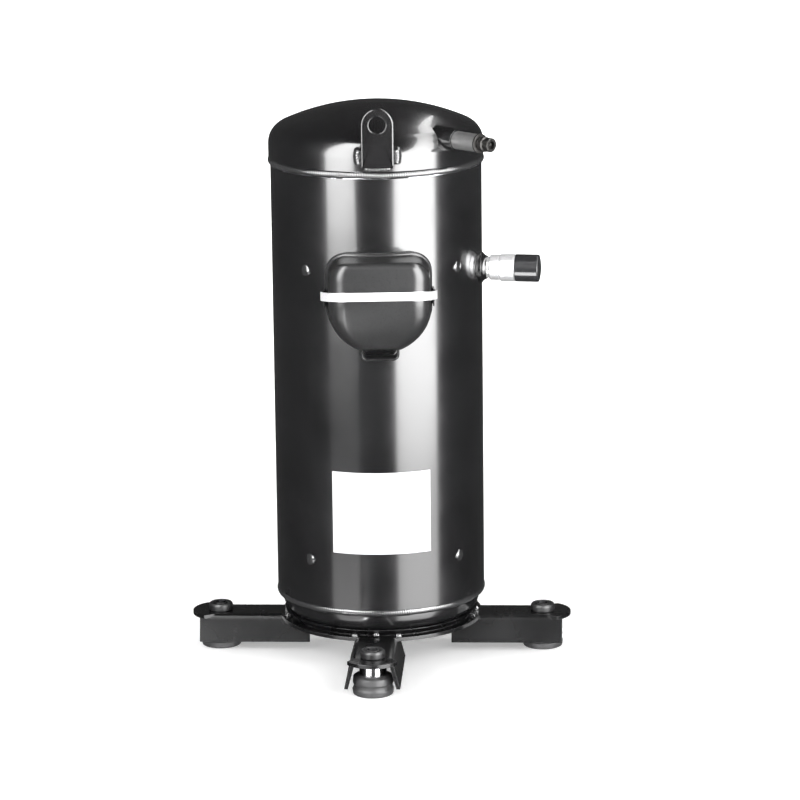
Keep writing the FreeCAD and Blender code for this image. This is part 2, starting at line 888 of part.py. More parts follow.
def make_discharge_port():
    where = {"z": mm.discharge_level, "azimuth": mm.discharge_azimuth}
    radius = mm.discharge_radius
    bore = mm.discharge_bore
    root, shoulder, waist, collar_end = 72, 86, 89, 94
    waist_radius, end_radius = radius + 2.2, radius + 1.4
    collar = turned_out(
        "discharge_collar_blank",
        [
            (radius, root),
            (mm.discharge_collar, root),
            (mm.discharge_collar, shoulder),
            (waist_radius, waist),
            (end_radius, collar_end),
            (radius, collar_end),
        ],
        **where,
    )
    stub = turned_out(
        "discharge_stub",
        [(bore, root), (radius, root), (radius, mm.discharge_stub_end), (bore, mm.discharge_stub_end)],
        **where,
    )
    start = mm.discharge_stub_end
    flange, neck, body, tip, mouth = 7.8, 5, 6, 5.6, 3.4
    flange_end = start + 1.6
    groove = 0.8
    first_groove, second_groove = start + 2, start + 8
    body_start, body_end = start + 3.6, start + 7.2
    tip_start = start + 9
    plug_start, pin_start = start - 8, start - 6
    hole = 1.9
    mouth_floor = mm.valve_end - 4
    chamfer = 0.6
    valve = turned_out(
        "service_valve_body",
        [
            (hole, plug_start),
            (bore, plug_start),
            (bore, start),
            (flange, start),
            (flange, flange_end),
            (neck, first_groove),
            (neck, first_groove + groove),
            (body, body_start),
            (body, body_end),
            (neck, second_groove),
            (neck, second_groove + groove * 0.75),
            (tip, tip_start),
            (tip, mm.valve_end - chamfer),
            (tip - chamfer, mm.valve_end),
            (mouth, mm.valve_end),
            (mouth, mouth_floor),
            (hole, mouth_floor),
        ],
        **where,
    )
    pin = hole - 0.3
    pin_end = mm.valve_end - 1
    nose = 0.5
    core = turned_out(
        "service_valve_pin",
        [
            (0, pin_start),
            (pin, pin_start),
            (pin, pin_end - nose),
            (pin - nose, pin_end),
            (0, pin_end),
        ],
        **where,
    )
    return [cut("discharge_collar", collar, dome_solid("dome_space")), stub, valve, core]


# Terminal and its cover


def cover_prism(name, inset):
    """The cover seen from the front, as a prism through its whole depth."""
    half = mm.cover_half - inset
    top = mm.cover_top - inset
    bottom = mm.cover_bottom + inset
    corner = mm.cover_corner - inset
    sweep = mm.cover_sweep - inset
    outline = [
        (half - corner, top),
        (half, top - corner, -corner),
        (half, mm.cover_side_low),
        (mm.cover_foot_half, bottom, -sweep),
        (-mm.cover_foot_half, bottom),
        (-half, mm.cover_side_low, -sweep),
        (-half, top - corner),
        (-half + corner, top, -corner),
    ]
    depth = mm.cover_front - mm.frame_body + SLACK
    return padded(name, "XZ_Plane", [outline], mm.frame_body, depth, azimuth=mm.front_azimuth)


def cover_solid(name, inset):
    """Where the front, top and side outlines of the cover all hold."""
    half = mm.cover_half - inset
    front = mm.cover_front - inset
    edge = mm.cover_edge - inset
    back = mm.frame_body
    plan = [
        (-half, -back),
        (-half, -front + edge),
        (-half + edge, -front, edge),
        (half - edge, -front),
        (half, -front + edge, edge),
        (half, -back),
    ]
    brow = 8 - inset
    top = mm.cover_top - inset
    bottom = mm.cover_bottom + inset
    side = [
        (-back, top),
        (-front + brow, top),
        (-front, top - brow, brow),
        (-front, mm.cover_slope_level),
        (-mm.cover_slope_reach + inset, bottom, mm.cover_slope_radius),
        (-back, bottom),
    ]
    low = mm.cover_bottom - SLACK
    tall = mm.cover_top - low + SLACK
    azimuth = mm.front_azimuth
    wide = mm.cover_half + SLACK
    return common(
        name,
        cover_prism(name + "_front", inset),
        padded(name + "_plan", "XY_Plane", [plan], low, tall, azimuth=azimuth),
        padded(name + "_side", "YZ_Plane", [side], -wide, wide * 2, azimuth=azimuth),
    )


def make_cover():
    """A deep moulded cover with a flange round its back and a cable outlet below."""
    azimuth = mm.front_azimuth
    low = mm.spout_bottom - SLACK
    high = mm.cover_top + 5
    rim = ring("cover_rim", mm.cover_seat, mm.cover_seat + mm.flange_depth, low, high)
    flange = common("cover_flange", cover_prism("cover_flange_front", -mm.flange_out), rim)
    spout = block(
        "cover_spout",
        (-mm.spout_half, mm.spout_half),
        (-mm.spout_reach, -mm.frame_body),
        (mm.spout_bottom, mm.cover_bottom + 6),
        azimuth=azimuth,
    )
    throat_half = mm.spout_half - mm.cover_wall
    throat = block(
        "cover_throat",
        (-throat_half, throat_half),
        (-mm.spout_reach + mm.cover_wall, -mm.frame_body),
        (low, mm.cover_bottom + 7),
        azimuth=azimuth,
    )
    seat = disc("cover_seat_space", mm.cover_seat, low - SLACK, high + SLACK)
    outside = fuse("cover_outside", cover_solid("cover_outer", 0), flange, spout)
    inside = cover_solid("cover_inner", mm.cover_wall)
    return [cut("terminal_cover", outside, inside, throat, seat)]


def make_gasket():
    """A flat rubber ring between the cover flange and the shell."""
    band = ring(
        "gasket_band",
        mm.shell_radius + 0.1,
        mm.cover_seat - 0.3,
        mm.spout_bottom,
        mm.cover_top + 5,
    )
    edge = cut(
        "gasket_edge",
        cover_prism("gasket_outer", -mm.flange_out),
        cover_prism("gasket_inner", mm.cover_wall),
    )
    return [common("cover_gasket", band, edge)]


def make_strap():
    """A flat steel band over the cover, sloping down to its two ends."""
    front, thick = mm.strap_front, mm.strap_thick
    corner = 17.5
    edge = mm.strap_front - corner
    run = mm.strap_side - corner
    shoulder = 92
    bend, outer_bend = 17.6, 18.8
    inside = [
        (-mm.strap_end, -mm.strap_end_reach),
        (-mm.strap_mid, -shoulder),
        (-mm.strap_side, -edge),
        (-run, -front, bend),
        (run, -front),
        (mm.strap_side, -edge, bend),
        (mm.strap_mid, -shoulder),
        (mm.strap_end, -mm.strap_end_reach),
    ]
    outside = [
        (mm.strap_end + thick, -mm.strap_end_reach),
        (mm.strap_mid + thick, -shoulder - 0.2),
        (mm.strap_side + thick, -edge),
        (run, -front - thick, -outer_bend),
        (-run, -front - thick),
        (-mm.strap_side - thick, -edge, -outer_bend),
        (-mm.strap_mid - thick, -shoulder - 0.2),
        (-mm.strap_end - thick, -mm.strap_end_reach),
    ]
    return [
        padded(
            "cover_strap",
            "XY_Plane",
            [inside + outside],
            0,
            mm.strap_height,
            tilt=-mm.strap_tilt,
            z=mm.strap_level,
            azimuth=mm.front_azimuth,
        )
    ]


def make_strap_brackets():
    """Two small plates on the shell, between the cover flange and the ends of the strap."""
    inner = mm.cover_half + mm.flange_out + 0.4
    outer = mm.strap_mid - 0.4
    low, high = 306, 320
    deep = (-84, -60)
    brackets = []
    for side in (-1, 1):
        x = sorted((inner * side, outer * side), key=lambda size: size.value)
        brackets.append(block("strap_bracket", x, deep, (low, high), azimuth=mm.front_azimuth))
    shell = disc("shell_space_strap", mm.shell_radius, low - SLACK, high + SLACK)
    return [cut("strap_brackets", group("strap_bracket_pair", *brackets), shell)]


def pin_spots():
    """x and level of the three terminal pins."""
    across = mm.pin_circle * math.cos(math.radians(30))
    drop = mm.pin_circle / 2
    level = mm.terminal_level
    return [(0, level + mm.pin_circle), (across, level - drop), (-across, level - drop)]


def pin_rods(name, radius, start, end):
    return [
        rod_out(name, radius, start, end, x=x, level=level, azimuth=mm.front_azimuth)
        for x, level in pin_spots()
    ]


def make_terminal():
    azimuth = mm.front_azimuth
    wall = 2.5
    face = mm.shell_radius + 4.5
    back = mm.shell_radius - 9
    proud = 1.5
    pin_end = face + 11.5
    radius = mm.terminal_radius
    cup = turned_out(
        "terminal_cup_blank",
        [
            (radius - wall, back),
            (radius, back),
            (radius, face),
            (0, face),
            (0, face - wall),
            (radius - wall, face - wall),
        ],
        z=mm.terminal_level,
        azimuth=azimuth,
    )
    eyes = pin_rods("terminal_eye", mm.glass_radius, face - wall - SLACK, face + SLACK)
    glass_start, glass_end = face - wall - proud, face + proud
    beads = pin_rods("glass_blank", mm.glass_radius, glass_start, glass_end)
    cores = pin_rods("glass_core", mm.pin_radius, glass_start - SLACK, glass_end + SLACK)
    inner_end = mm.frame_body + 10
    pins = pin_rods("pin", mm.pin_radius, inner_end, pin_end)
    plug_half, plug_start, plug_end = 14, face + 2, face + 15
    plug_low, plug_high = mm.terminal_level - 12, mm.terminal_level + 14
    plug = block(
        "terminal_block_blank",
        (-plug_half, plug_half),
        (-plug_end, -plug_start),
        (plug_low, plug_high),
        azimuth=azimuth,
    )
    sockets = pin_rods("socket", mm.pin_radius + 0.1, face, pin_end + 0.5)
    lead_half, lead_deep = 12, 8
    lead_low, lead_high = 300, mm.terminal_level + 11
    connector = block(
        "lead_connector",
        (-lead_half, lead_half),
        (-inner_end, -(inner_end - lead_deep)),
        (lead_low, lead_high),
        azimuth=azimuth,
    )
    return [
        cut("terminal_cup", cup, *eyes),
        cut("terminal_glass", group("glass_beads", *beads), *cores),
        group("terminal_pins", *pins),
        cut("terminal_block", plug, *sockets),
        connector,
    ]


def make_fence():
    """A welded sheet frame round the terminal, and the earth screw beside it."""
    half = 25
    wall = 2
    low, high = 292, 338
    outer = [(-half, low), (half, low), (half, high), (-half, high)]
    inner = [
        (-half + wall, low + wall),
        (half - wall, low + wall),
        (half - wall, high - wall),
        (-half + wall, high - wall),
    ]
    start, deep = 78, 20
    frame = padded(
        "fence_blank", "XZ_Plane", [outer, inner], start, deep, azimuth=mm.front_azimuth
    )
    shell = disc("shell_space_fence", mm.shell_radius, low - SLACK, high + SLACK)
    thread, head = 2.5, 3.8
    screw_start, under_head, head_edge, head_end = 70, 88, 90.4, 91.2
    screw_level = 330
    screw_turn = 20.3
    screw = turned_out(
        "earth_screw_blank",
        [
            (0, screw_start),
            (thread, screw_start),
            (thread, under_head),
            (head, under_head),
            (head, head_edge),
            (head - 0.8, head_end),
            (0, head_end),
        ],
        z=screw_level,
        azimuth=mm.front_azimuth + screw_turn,
    )
    shell_again = disc("shell_space_screw", mm.shell_radius, low - SLACK, high + SLACK)
    return [cut("terminal_fence", frame, shell), cut("earth_screw", screw, shell_again)]


# Scroll set


def involute_wall(start_turn, bottom, top, x):
    """One scroll wall: a strip between two parallel involutes of the same base circle."""
    base = mm.wrap_pitch.value / (2 * math.pi)
    lead = mm.wrap_thick.value / (2 * base)
    steps = 96
    span = mm.wrap_end.value - mm.wrap_start.value

    def involute(offset):
        spots = []
        for step in range(steps + 1):
            angle = mm.wrap_start.value + span * step / steps
            reach = angle + offset
            turn = angle + start_turn
            along = math.cos(turn) + reach * math.sin(turn)
            beside = math.sin(turn) - reach * math.cos(turn)
            spots.append(Vector(x + base * along, base * beside, bottom))
        curve = Part.BSplineCurve()
        curve.interpolate(spots)
        return curve.toShape(), spots[0], spots[-1]

    outer, outer_start, outer_end = involute(lead)
    inner, inner_start, inner_end = involute(-lead)
    edges = [
        outer,
        Part.LineSegment(outer_end, inner_end).toShape(),
        inner,
        Part.LineSegment(inner_start, outer_start).toShape(),
    ]
    face = Part.Face(Part.Wire(Part.__sortEdges__(edges)))
    return face.extrude(Vector(0, 0, top - bottom))


def scroll_feature(name, start_turn, bottom, top, x):
    item = doc.addObject("Part::Feature", name)
    item.Shape = involute_wall(start_turn, bottom.value, top.value, x)
    return item


def make_orbiting_scroll():
    """Plate with a scroll wall above, a bearing hub below and slots for two Oldham keys."""
    plate_top = mm.orbit_bottom + mm.orbit_plate
    pin_hole = mm.crank_pin + mm.bush_wall
    where = {"x": mm.throw}
    plate = disc("orbit_plate_disc", mm.orbit_radius, mm.orbit_bottom, plate_top, **where)
    hub_low = mm.journal_high + 2.5
    hub_wall = 6
    hub = ring("orbit_hub", pin_hole, pin_hole + hub_wall, hub_low, mm.orbit_bottom, **where)
    wall = scroll_feature(
        "orbit_wall", 0, plate_top, plate_top + mm.wrap_height, mm.throw.value
    )
    half_x = mm.oldham_half_key + mm.key_slack
    slot_start, slot_end = 41.9, mm.orbit_radius.value + 2
    slot_deep = 4.3
    slots = []
    for side in (-1, 1):
        y = sorted((slot_start * side, slot_end * side))
        slots.append(
            block(
                "orbit_key_slot",
                (mm.throw - half_x, mm.throw + half_x),
                y,
                (mm.orbit_bottom - SLACK, mm.orbit_bottom + slot_deep),
            )
        )
    body = fuse("orbit_blank", plate, hub, wall)
    bush_bore = mm.crank_pin + mm.running_gap
    bush_top = mm.orbit_bottom - 1.2
    bush = ring("orbiting_bush", bush_bore, pin_hole, hub_low, bush_top, **where)
    return [cut("orbiting_scroll", body, *slots), bush]


def make_fixed_scroll():
    """Ring and plate with a scroll wall below, a discharge port and a hub above."""
    plate_low = mm.orbit_bottom + mm.orbit_plate + mm.wrap_height + mm.tip_gap
    wall_low = mm.orbit_bottom + mm.orbit_plate + mm.tip_gap
    blank = turned(
        "fixed_blank",
        [
            (mm.port_radius, plate_low),
            (mm.fixed_inner, plate_low),
            (mm.fixed_inner, mm.fixed_bottom),
            (mm.fixed_radius, mm.fixed_bottom),
            (mm.fixed_radius, mm.fixed_plate_top),
            (mm.hub_radius, mm.fixed_plate_top),
            (mm.hub_radius, mm.hub_top),
            (mm.port_radius, mm.hub_top),
        ],
    )
    wall = scroll_feature("fixed_wall", math.pi, wall_low, plate_low + 0.5, 0)
    inlet_half, inlet_low, inlet_high = 15, 350, 376
    inlet = block(
        "fixed_inlet",
        (-inlet_half, inlet_half),
        (-mm.fixed_radius - SLACK, -mm.fixed_inner + SLACK),
        (inlet_low, inlet_high),
        azimuth=mm.suction_azimuth,
    )

    def bolt_hole(name, azimuth):
        hole = disc(
            name,
            mm.bolt_radius + 0.2,
            mm.fixed_bottom - SLACK,
            mm.fixed_plate_top + SLACK,
            y=-mm.bolt_circle,
        )
        return place(group(name + "_turned", hole), azimuth=azimuth)

    holes = around("fixed_bolt_hole", WELDS, bolt_hole)
    body = fuse("fixed_body", blank, wall)
    return [cut("fixed_scroll", body, inlet, *holes)]


def make_scroll_bolts():
    head = mm.bolt_radius + 2.3
    top = mm.fixed_plate_top + 5
    bottom = mm.frame_deck - mm.thread_depth
    profile = [
        (0, bottom),
        (mm.bolt_radius, bottom),
        (mm.bolt_radius, mm.fixed_plate_top),
        (head, mm.fixed_plate_top),
        (head, top),
        (0, top),
    ]

    def bolt(name, azimuth):
        piece = turned(name, profile, y=-mm.bolt_circle)
        return place(group(name + "_turned", piece), azimuth=azimuth)

    return [group("scroll_bolts", *around("scroll_bolt", WELDS, bolt))]


def make_oldham_ring():
    """A ring with two keys below along X and two keys above along Y."""
    x = mm.throw / 2
    band = ring(
        "oldham_band", mm.oldham_inner, mm.oldham_outer, mm.oldham_low, mm.oldham_high, x=x
    )
    half = mm.oldham_half_key
    middle = (mm.oldham_inner + mm.oldham_outer) / 2
    half_long = 4
    near, far = middle - half_long, middle + half_long
    low_key, high_key = mm.oldham_low - 5, mm.oldham_high + 4.8
    keys = []
    for side in (-1, 1):
        span = sorted((near * side, far * side), key=lambda size: size.value)
        below = (low_key, mm.oldham_low + SLACK)
        above = (mm.oldham_high - SLACK, high_key)
        keys.append(block("oldham_key_low", span, (-half, half), below, x=x))
        keys.append(block("oldham_key_high", (-half, half), span, above, x=x))
    return [fuse("oldham_ring", band, *keys)]


def make_main_frame():
    """Upper bearing housing with four pads to the shell and slots for two Oldham keys."""
    bush_outer = mm.main_journal + mm.bush_wall
    blank = turned(
        "main_frame_blank",
        [
            (bush_outer, mm.main_hub_low),
            (mm.main_hub, mm.main_hub_low),
            (mm.main_hub, mm.frame_low),
            (mm.frame_body, mm.frame_low),
            (mm.frame_body, mm.frame_deck),
            (mm.thrust_outer, mm.frame_deck),
            (mm.thrust_outer, mm.fixed_bottom),
            (mm.thrust_inner, mm.fixed_bottom),
            (mm.thrust_inner, mm.well_floor),
            (bush_outer, mm.well_floor),
        ],
    )

    pad_half = 16
    pad_root, post_root = mm.frame_body - 4, mm.fixed_inner - 1.5

    def pad(name, azimuth):
        far = mm.frame_radius + 2
        low = block(
            name + "_low",
            (-pad_half, pad_half),
            (-far, -pad_root),
            (mm.well_floor, mm.frame_deck),
            azimuth=azimuth,
        )
        high = block(
            name + "_high",
            (-pad_half, pad_half),
            (-far, -post_root),
            (mm.frame_deck - SLACK, mm.fixed_bottom),
            azimuth=azimuth,
        )
        return fuse(name, low, high)

    def bolt_hole(name, azimuth):
        bottom = mm.frame_deck - mm.thread_depth
        hole = disc(name, mm.bolt_radius, bottom, mm.fixed_bottom + SLACK, y=-mm.bolt_circle)
        return place(group(name + "_turned", hole), azimuth=azimuth)

    limit = disc("frame_space", mm.frame_radius, mm.main_hub_low - SLACK, mm.fixed_bottom)
    body = fuse("main_frame_body", blank, *around("main_pad", WELDS, pad))
    half = mm.oldham_half_key + mm.key_slack
    slot_start, slot_end, slot_floor = 41.5, 59.6, mm.oldham_low - 6
    slots = []
    for side in (-1, 1):
        x = sorted((slot_start * side, slot_end * side))
        slot = block("frame_key_slot", x, (-half, half), (slot_floor, mm.frame_deck + SLACK))
        slots.append(slot)
    holes = around("frame_bolt_hole", WELDS, bolt_hole)
    frame = cut("main_frame", common("main_frame_limited", body, limit), *slots, *holes)
    bush = ring(
        "main_bush",
        mm.main_journal + mm.running_gap,
        bush_outer,
        mm.main_hub_low,
        mm.well_floor,
    )
    return [frame, bush]


def make_discharge_valve():
    """Floating seal, valve disc on the hub, its guard and the two guard screws."""
    bore = mm.hub_radius + 0.1
    skirt, neck = mm.hub_radius + 9, mm.hub_radius + mm.seal_neck
    seal_low, shoulder, seal_top = mm.fixed_plate_top + 1.2, mm.shell_top - 6, mm.shell_top + 1.5
    seal = turned(
        "floating_seal",
        [
            (bore, seal_low),
            (skirt, seal_low),
            (skirt, shoulder),
            (neck, shoulder),
            (neck, seal_top),
            (bore, seal_top),
        ],
    )
    disc_radius, disc_gap, disc_thick = 8, 0.2, 1.2
    disc_low = mm.hub_top + disc_gap
    valve = disc("discharge_valve_disc", disc_radius, disc_low, disc_low + disc_thick)
    chamber, eye = disc_radius + 0.5, 3
    foot_top, guard_top, roof = mm.hub_top + 2, mm.hub_top + 7, 2.8
    guard_blank = turned(
        "valve_guard_blank",
        [
            (chamber, mm.hub_top),
            (mm.guard_foot, mm.hub_top),
            (mm.guard_foot, foot_top),
            (mm.guard_neck, foot_top),
            (mm.guard_neck, guard_top),
            (eye, guard_top),
            (eye, guard_top - roof),
            (chamber, guard_top - roof),
        ],
    )
    thread, head, head_tall = 1.5, 2.4, 1.8
    screw = [
        (0, mm.hub_top),
        (thread, mm.hub_top),
        (thread, foot_top),
        (head, foot_top),
        (head, foot_top + head_tall),
        (0, foot_top + head_tall),
    ]
    middle = (mm.guard_foot + mm.guard_neck) / 2
    holes, screws = [], []
    for x in (-middle, middle):
        holes.append(disc("guard_screw_hole", thread, mm.hub_top - SLACK, foot_top + SLACK, x=x))
        screws.append(turned("guard_screw", screw, x=x))
    guard = cut("valve_guard", guard_blank, *holes)
    return [seal, valve, guard, group("valve_guard_screws", *screws)]


# Motor and shaft


def make_crankshaft():
    """Stepped shaft with a crank pin on top and an oil bore through its length."""
    stem = turned(
        "shaft_stem",
        [
            (0, mm.shaft_bottom),
            (mm.lower_journal, mm.shaft_bottom),
            (mm.lower_journal, mm.shaft_shoulder),
            (mm.shaft_radius, mm.shaft_shoulder),
            (mm.shaft_radius, mm.journal_low),
            (mm.main_journal, mm.journal_low),
            (mm.main_journal, mm.journal_high),
            (0, mm.journal_high),
        ],
    )
    pin_top = mm.orbit_bottom - 2
    pin = disc("crank_pin_rod", mm.crank_pin, mm.journal_high - SLACK, pin_top, x=mm.throw)
    low, high = mm.shaft_bottom - SLACK, pin_top + SLACK
    bore = disc("oil_bore_space", mm.oil_bore, low, high, x=mm.throw / 2)
    return [cut("crankshaft", fuse("shaft_blank", stem, pin), bore)]


def make_rotor():
    top = mm.rotor_high + mm.end_ring
    bottom = mm.rotor_low - mm.end_ring
    outside = mm.rotor_radius - 1
    rings = [
        ring("end_ring", mm.end_ring_inner, outside, mm.rotor_high, top),
        ring("end_ring", mm.end_ring_inner, outside, bottom, mm.rotor_low),
    ]
    return [
        ring("rotor_core", mm.shaft_radius, mm.rotor_radius, mm.rotor_low, mm.rotor_high),
        group("rotor_end_rings", *rings),
        half_ring("upper_balance_weight", top, top + mm.weight_height, 90),
        half_ring("lower_balance_weight", bottom - mm.weight_height, bottom, 270),
    ]


def half_ring(name, bottom, top, azimuth):
    """A balance weight: half of a ring, on one side of the shaft."""
    outside, inside = mm.rotor_radius - 2, mm.shaft_radius + 8
    outer = disc(name + "_outer", outside, bottom, top, azimuth=azimuth)
    bind(outer, "Angle", 180)
    inner = disc(name + "_inner", inside, bottom - SLACK, top + SLACK)
    return cut(name, outer, inner)


def make_stator():
    """Laminated core with open slots, and the winding that fills them."""
    outer = mm.frame_radius
    core = doc.addObject("PartDesign::Body", "stator_core")
    sketch = new_sketch(core, "XY_Plane", mm.stator_low)
    draw_circle(sketch, 0, 0, outer)
    draw_circle(sketch, 0, 0, mm.stator_inner)
    stack = core.newObject("PartDesign::Pad", "stator_stack")
    stack.Profile = sketch
    bind(stack, "Length", mm.stator_high - mm.stator_low)
    slot_sketch = new_sketch(core, "XY_Plane", mm.stator_high + SLACK)
    opening = mm.stator_inner - 2
    wide_start = mm.slot_inner + 1.5
    draw(
        slot_sketch,
        [
            (-mm.slot_mouth, -opening),
            (-mm.slot_mouth, -mm.slot_inner),
            (-mm.slot_half, -wide_start),
            (-mm.slot_half, -mm.slot_outer),
            (mm.slot_half, -mm.slot_outer),
            (mm.slot_half, -wide_start),
            (mm.slot_mouth, -mm.slot_inner),
            (mm.slot_mouth, -opening),
        ],
    )
    slot = core.newObject("PartDesign::Pocket", "stator_slot")
    slot.Profile = slot_sketch
    bind(slot, "Length", mm.stator_high - mm.stator_low + 2 * SLACK)
    pattern = core.newObject("PartDesign::PolarPattern", "stator_slots")
    pattern.Originals = [slot]
    pattern.Axis = (sketch, ["N_Axis"])
    pattern.Angle = 360
    bind(pattern, "Occurrences", mm.slot_count)
    core.Tip = pattern

    bend = 3.5
    inner, far, bar_start = mm.slot_inner - 2, mm.slot_outer + 1, mm.slot_inner + 2
    turns = []
    for side, face in ((1, mm.stator_high), (-1, mm.stator_low)):
        end = face + mm.end_turn * side
        profile = [
            (inner, face),
            (far, face),
            (far, end - bend * side),
            (far - bend, end, bend * side),
            (inner + bend, end),
            (inner, end - bend * side, bend * side),
        ]
        turns.append(turned("end_turn", profile))
    liner = 0.3
    bar_half = mm.slot_half - liner
    bar_end = mm.slot_outer - liner
    count = int(mm.slot_count.value)
    for number in range(count):
        azimuth = 360 / mm.slot_count.value * number
        bar = block(
            "slot_bar",
            (-bar_half, bar_half),
            (-bar_end, -bar_start),
            (mm.stator_low - SLACK, mm.stator_high + SLACK),
            azimuth=azimuth,
        )
        turns.append(bar)
    return [core, fuse("stator_winding", *turns)]


def make_motor_fittings():
    top = mm.stator_high + mm.end_turn
    lead_radius, lead_pitch, lead_top = 1.3, 7, 300
    lead_reach = mm.slot_outer - 4.5
    leads = []
    for across in (-lead_pitch, 0, lead_pitch):
        lead = disc("motor_lead", lead_radius, top, lead_top, x=across, y=-lead_reach)
        leads.append(place(group("motor_lead_turned", lead), azimuth=mm.front_azimuth))
    can_radius, can_height, can_reach = 8, 8, 57
    protector = disc("protector_can", can_radius, top, top + can_height, y=-can_reach)
    spread = 36
    outside, thick = 75, 1.2
    low, high = 296, 342
    start = mm.suction_azimuth - 90 - spread / 2
    baffle = disc("baffle_outer", outside, low, high, azimuth=start)
    bind(baffle, "Angle", spread)
    space = disc("baffle_inner", outside - thick, low - SLACK, high + SLACK)
    return [
        group("motor_leads", *leads),
        place(group("motor_protector", protector), azimuth=120),
        cut("suction_baffle", baffle, space),
    ]


# Bottom end


def make_lower_frame():
    bush_outer = mm.lower_journal + mm.bush_wall
    hub_radius = 20
    beam_low, beam_high, beam_start = 86, 96, 17
    pad_low, pad_high, pad_start, pad_extra = 84, 101, 70, 3
    hub = ring("lower_hub", bush_outer, hub_radius, mm.lower_hub_low, mm.lower_hub_high)

    def arm(name, azimuth):
        half = mm.lower_arm_half
        far = mm.frame_radius + 2
        wide = half + pad_extra
        beam = block(
            name + "_beam", (-half, half), (-far, -beam_start), (beam_low, beam_high), azimuth=azimuth
        )
        pad = block(
            name + "_pad", (-wide, wide), (-far, -pad_start), (pad_low, pad_high), azimuth=azimuth
        )
        return fuse(name, beam, pad)

    limit = disc("lower_frame_space", mm.frame_radius, pad_low - SLACK, pad_high + SLACK)
    body = fuse("lower_frame_body", hub, *around("lower_arm", WELDS, arm))
    gap = mm.lower_journal + mm.running_gap
    washer_bore, washer_radius = mm.lower_journal + 0.4, 16
    washer_low, washer_high = mm.lower_hub_high, mm.shaft_shoulder - 0.2
    return [
        common("lower_frame", body, limit),
        ring("lower_bush", gap, bush_outer, mm.lower_hub_low, mm.lower_hub_high),
        ring("thrust_washer", washer_bore, washer_radius, washer_low, washer_high),
    ]


def make_oil_parts():
    """Pickup cup pressed over the end of the shaft, and the magnet that catches chips."""
    rim = mm.lower_journal
    wall = 1.2
    cup_low, cup_floor = 44, 45.4
    cup_top, cup_bend = mm.shaft_bottom + 6, mm.shaft_bottom - 3
    mouth, cup_foot = 2.6, 4.6
    pickup = turned(
        "oil_pickup",
        [
            (rim, cup_top),
            (rim, cup_bend),
            (cup_foot, cup_floor),
            (mouth, cup_floor),
            (mouth, cup_low),
            (cup_foot + 1, cup_low),
            (rim + wall, cup_bend - 0.6),
            (rim + wall, cup_top),
        ],
    )
    magnet_bore, magnet_radius, magnet_height = 4, 11, 5
    floor = mm.bowl_apex + mm.bowl_wall + 0.3
    magnet = ring("chip_magnet", magnet_bore, magnet_radius, floor, floor + magnet_height)
    return [pickup, magnet]


def check(item):
    """Stop if an object has failed or has no sound shape."""
    if "Invalid" in item.State or "Error" in item.State:
        raise RuntimeError("%s failed: %s" % (item.Label, item.State))


def main():
    parts = []
    for make in (
        make_shell,
        make_plug_welds,
        make_top_cap,
        make_bottom_bowl,
        make_separator,
        make_seam_welds,
        make_base_frame,
        make_base_welds,
        make_mounts,
        make_lifting_lug,
        make_lug_weld,
        make_nameplate,
        make_suction_port,
        make_discharge_port,
        make_cover,
        make_gasket,
        make_strap,
        make_strap_brackets,
        make_terminal,
        make_fence,
        make_orbiting_scroll,
        make_fixed_scroll,
        make_scroll_bolts,
        make_oldham_ring,
        make_main_frame,
        make_discharge_valve,
        make_crankshaft,
        make_rotor,
        make_stator,
        make_motor_fittings,
        make_lower_frame,
        make_oil_parts,
    ):
        parts += make()
    doc.recompute()
    for item in doc.Objects:
        check(item)
    os.makedirs("parts", exist_ok=True)
    for item in parts:
        shape = item.Shape
        if shape.isNull() or not shape.isValid() or shape.Volume < 1:
            raise RuntimeError("%s has no sound shape" % item.Label)
        print("%-24s %2d solids %10.0f mm3" % (item.Label, len(shape.Solids), shape.Volume))
        shape.exportStep("parts/%s.step" % item.Label)
    print(len(parts), "parts")


main()
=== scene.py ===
"""Looks of the refrigeration compressor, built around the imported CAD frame."""
import json
import math

import bmesh
import bpy
from mathutils import Matrix, Vector


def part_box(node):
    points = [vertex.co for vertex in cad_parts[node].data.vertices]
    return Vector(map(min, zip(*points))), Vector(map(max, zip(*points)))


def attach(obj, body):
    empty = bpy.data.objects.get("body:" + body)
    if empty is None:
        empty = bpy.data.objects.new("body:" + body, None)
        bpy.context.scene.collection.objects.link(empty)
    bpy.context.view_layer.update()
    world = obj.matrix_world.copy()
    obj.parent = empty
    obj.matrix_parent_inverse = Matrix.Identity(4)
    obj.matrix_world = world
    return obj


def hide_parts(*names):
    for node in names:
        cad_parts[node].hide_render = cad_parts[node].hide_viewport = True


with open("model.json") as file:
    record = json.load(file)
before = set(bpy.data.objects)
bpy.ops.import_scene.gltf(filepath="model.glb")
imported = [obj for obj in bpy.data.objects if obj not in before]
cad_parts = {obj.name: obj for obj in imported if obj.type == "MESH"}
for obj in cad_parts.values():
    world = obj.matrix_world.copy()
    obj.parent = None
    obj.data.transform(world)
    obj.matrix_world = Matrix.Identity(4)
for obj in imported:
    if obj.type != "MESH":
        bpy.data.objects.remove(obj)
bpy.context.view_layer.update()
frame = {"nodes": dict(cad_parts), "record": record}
NODES = frame["nodes"]
MM = 0.001
SWING = (0.3, 0.7)  # the part of a noise's range that most of it lies in


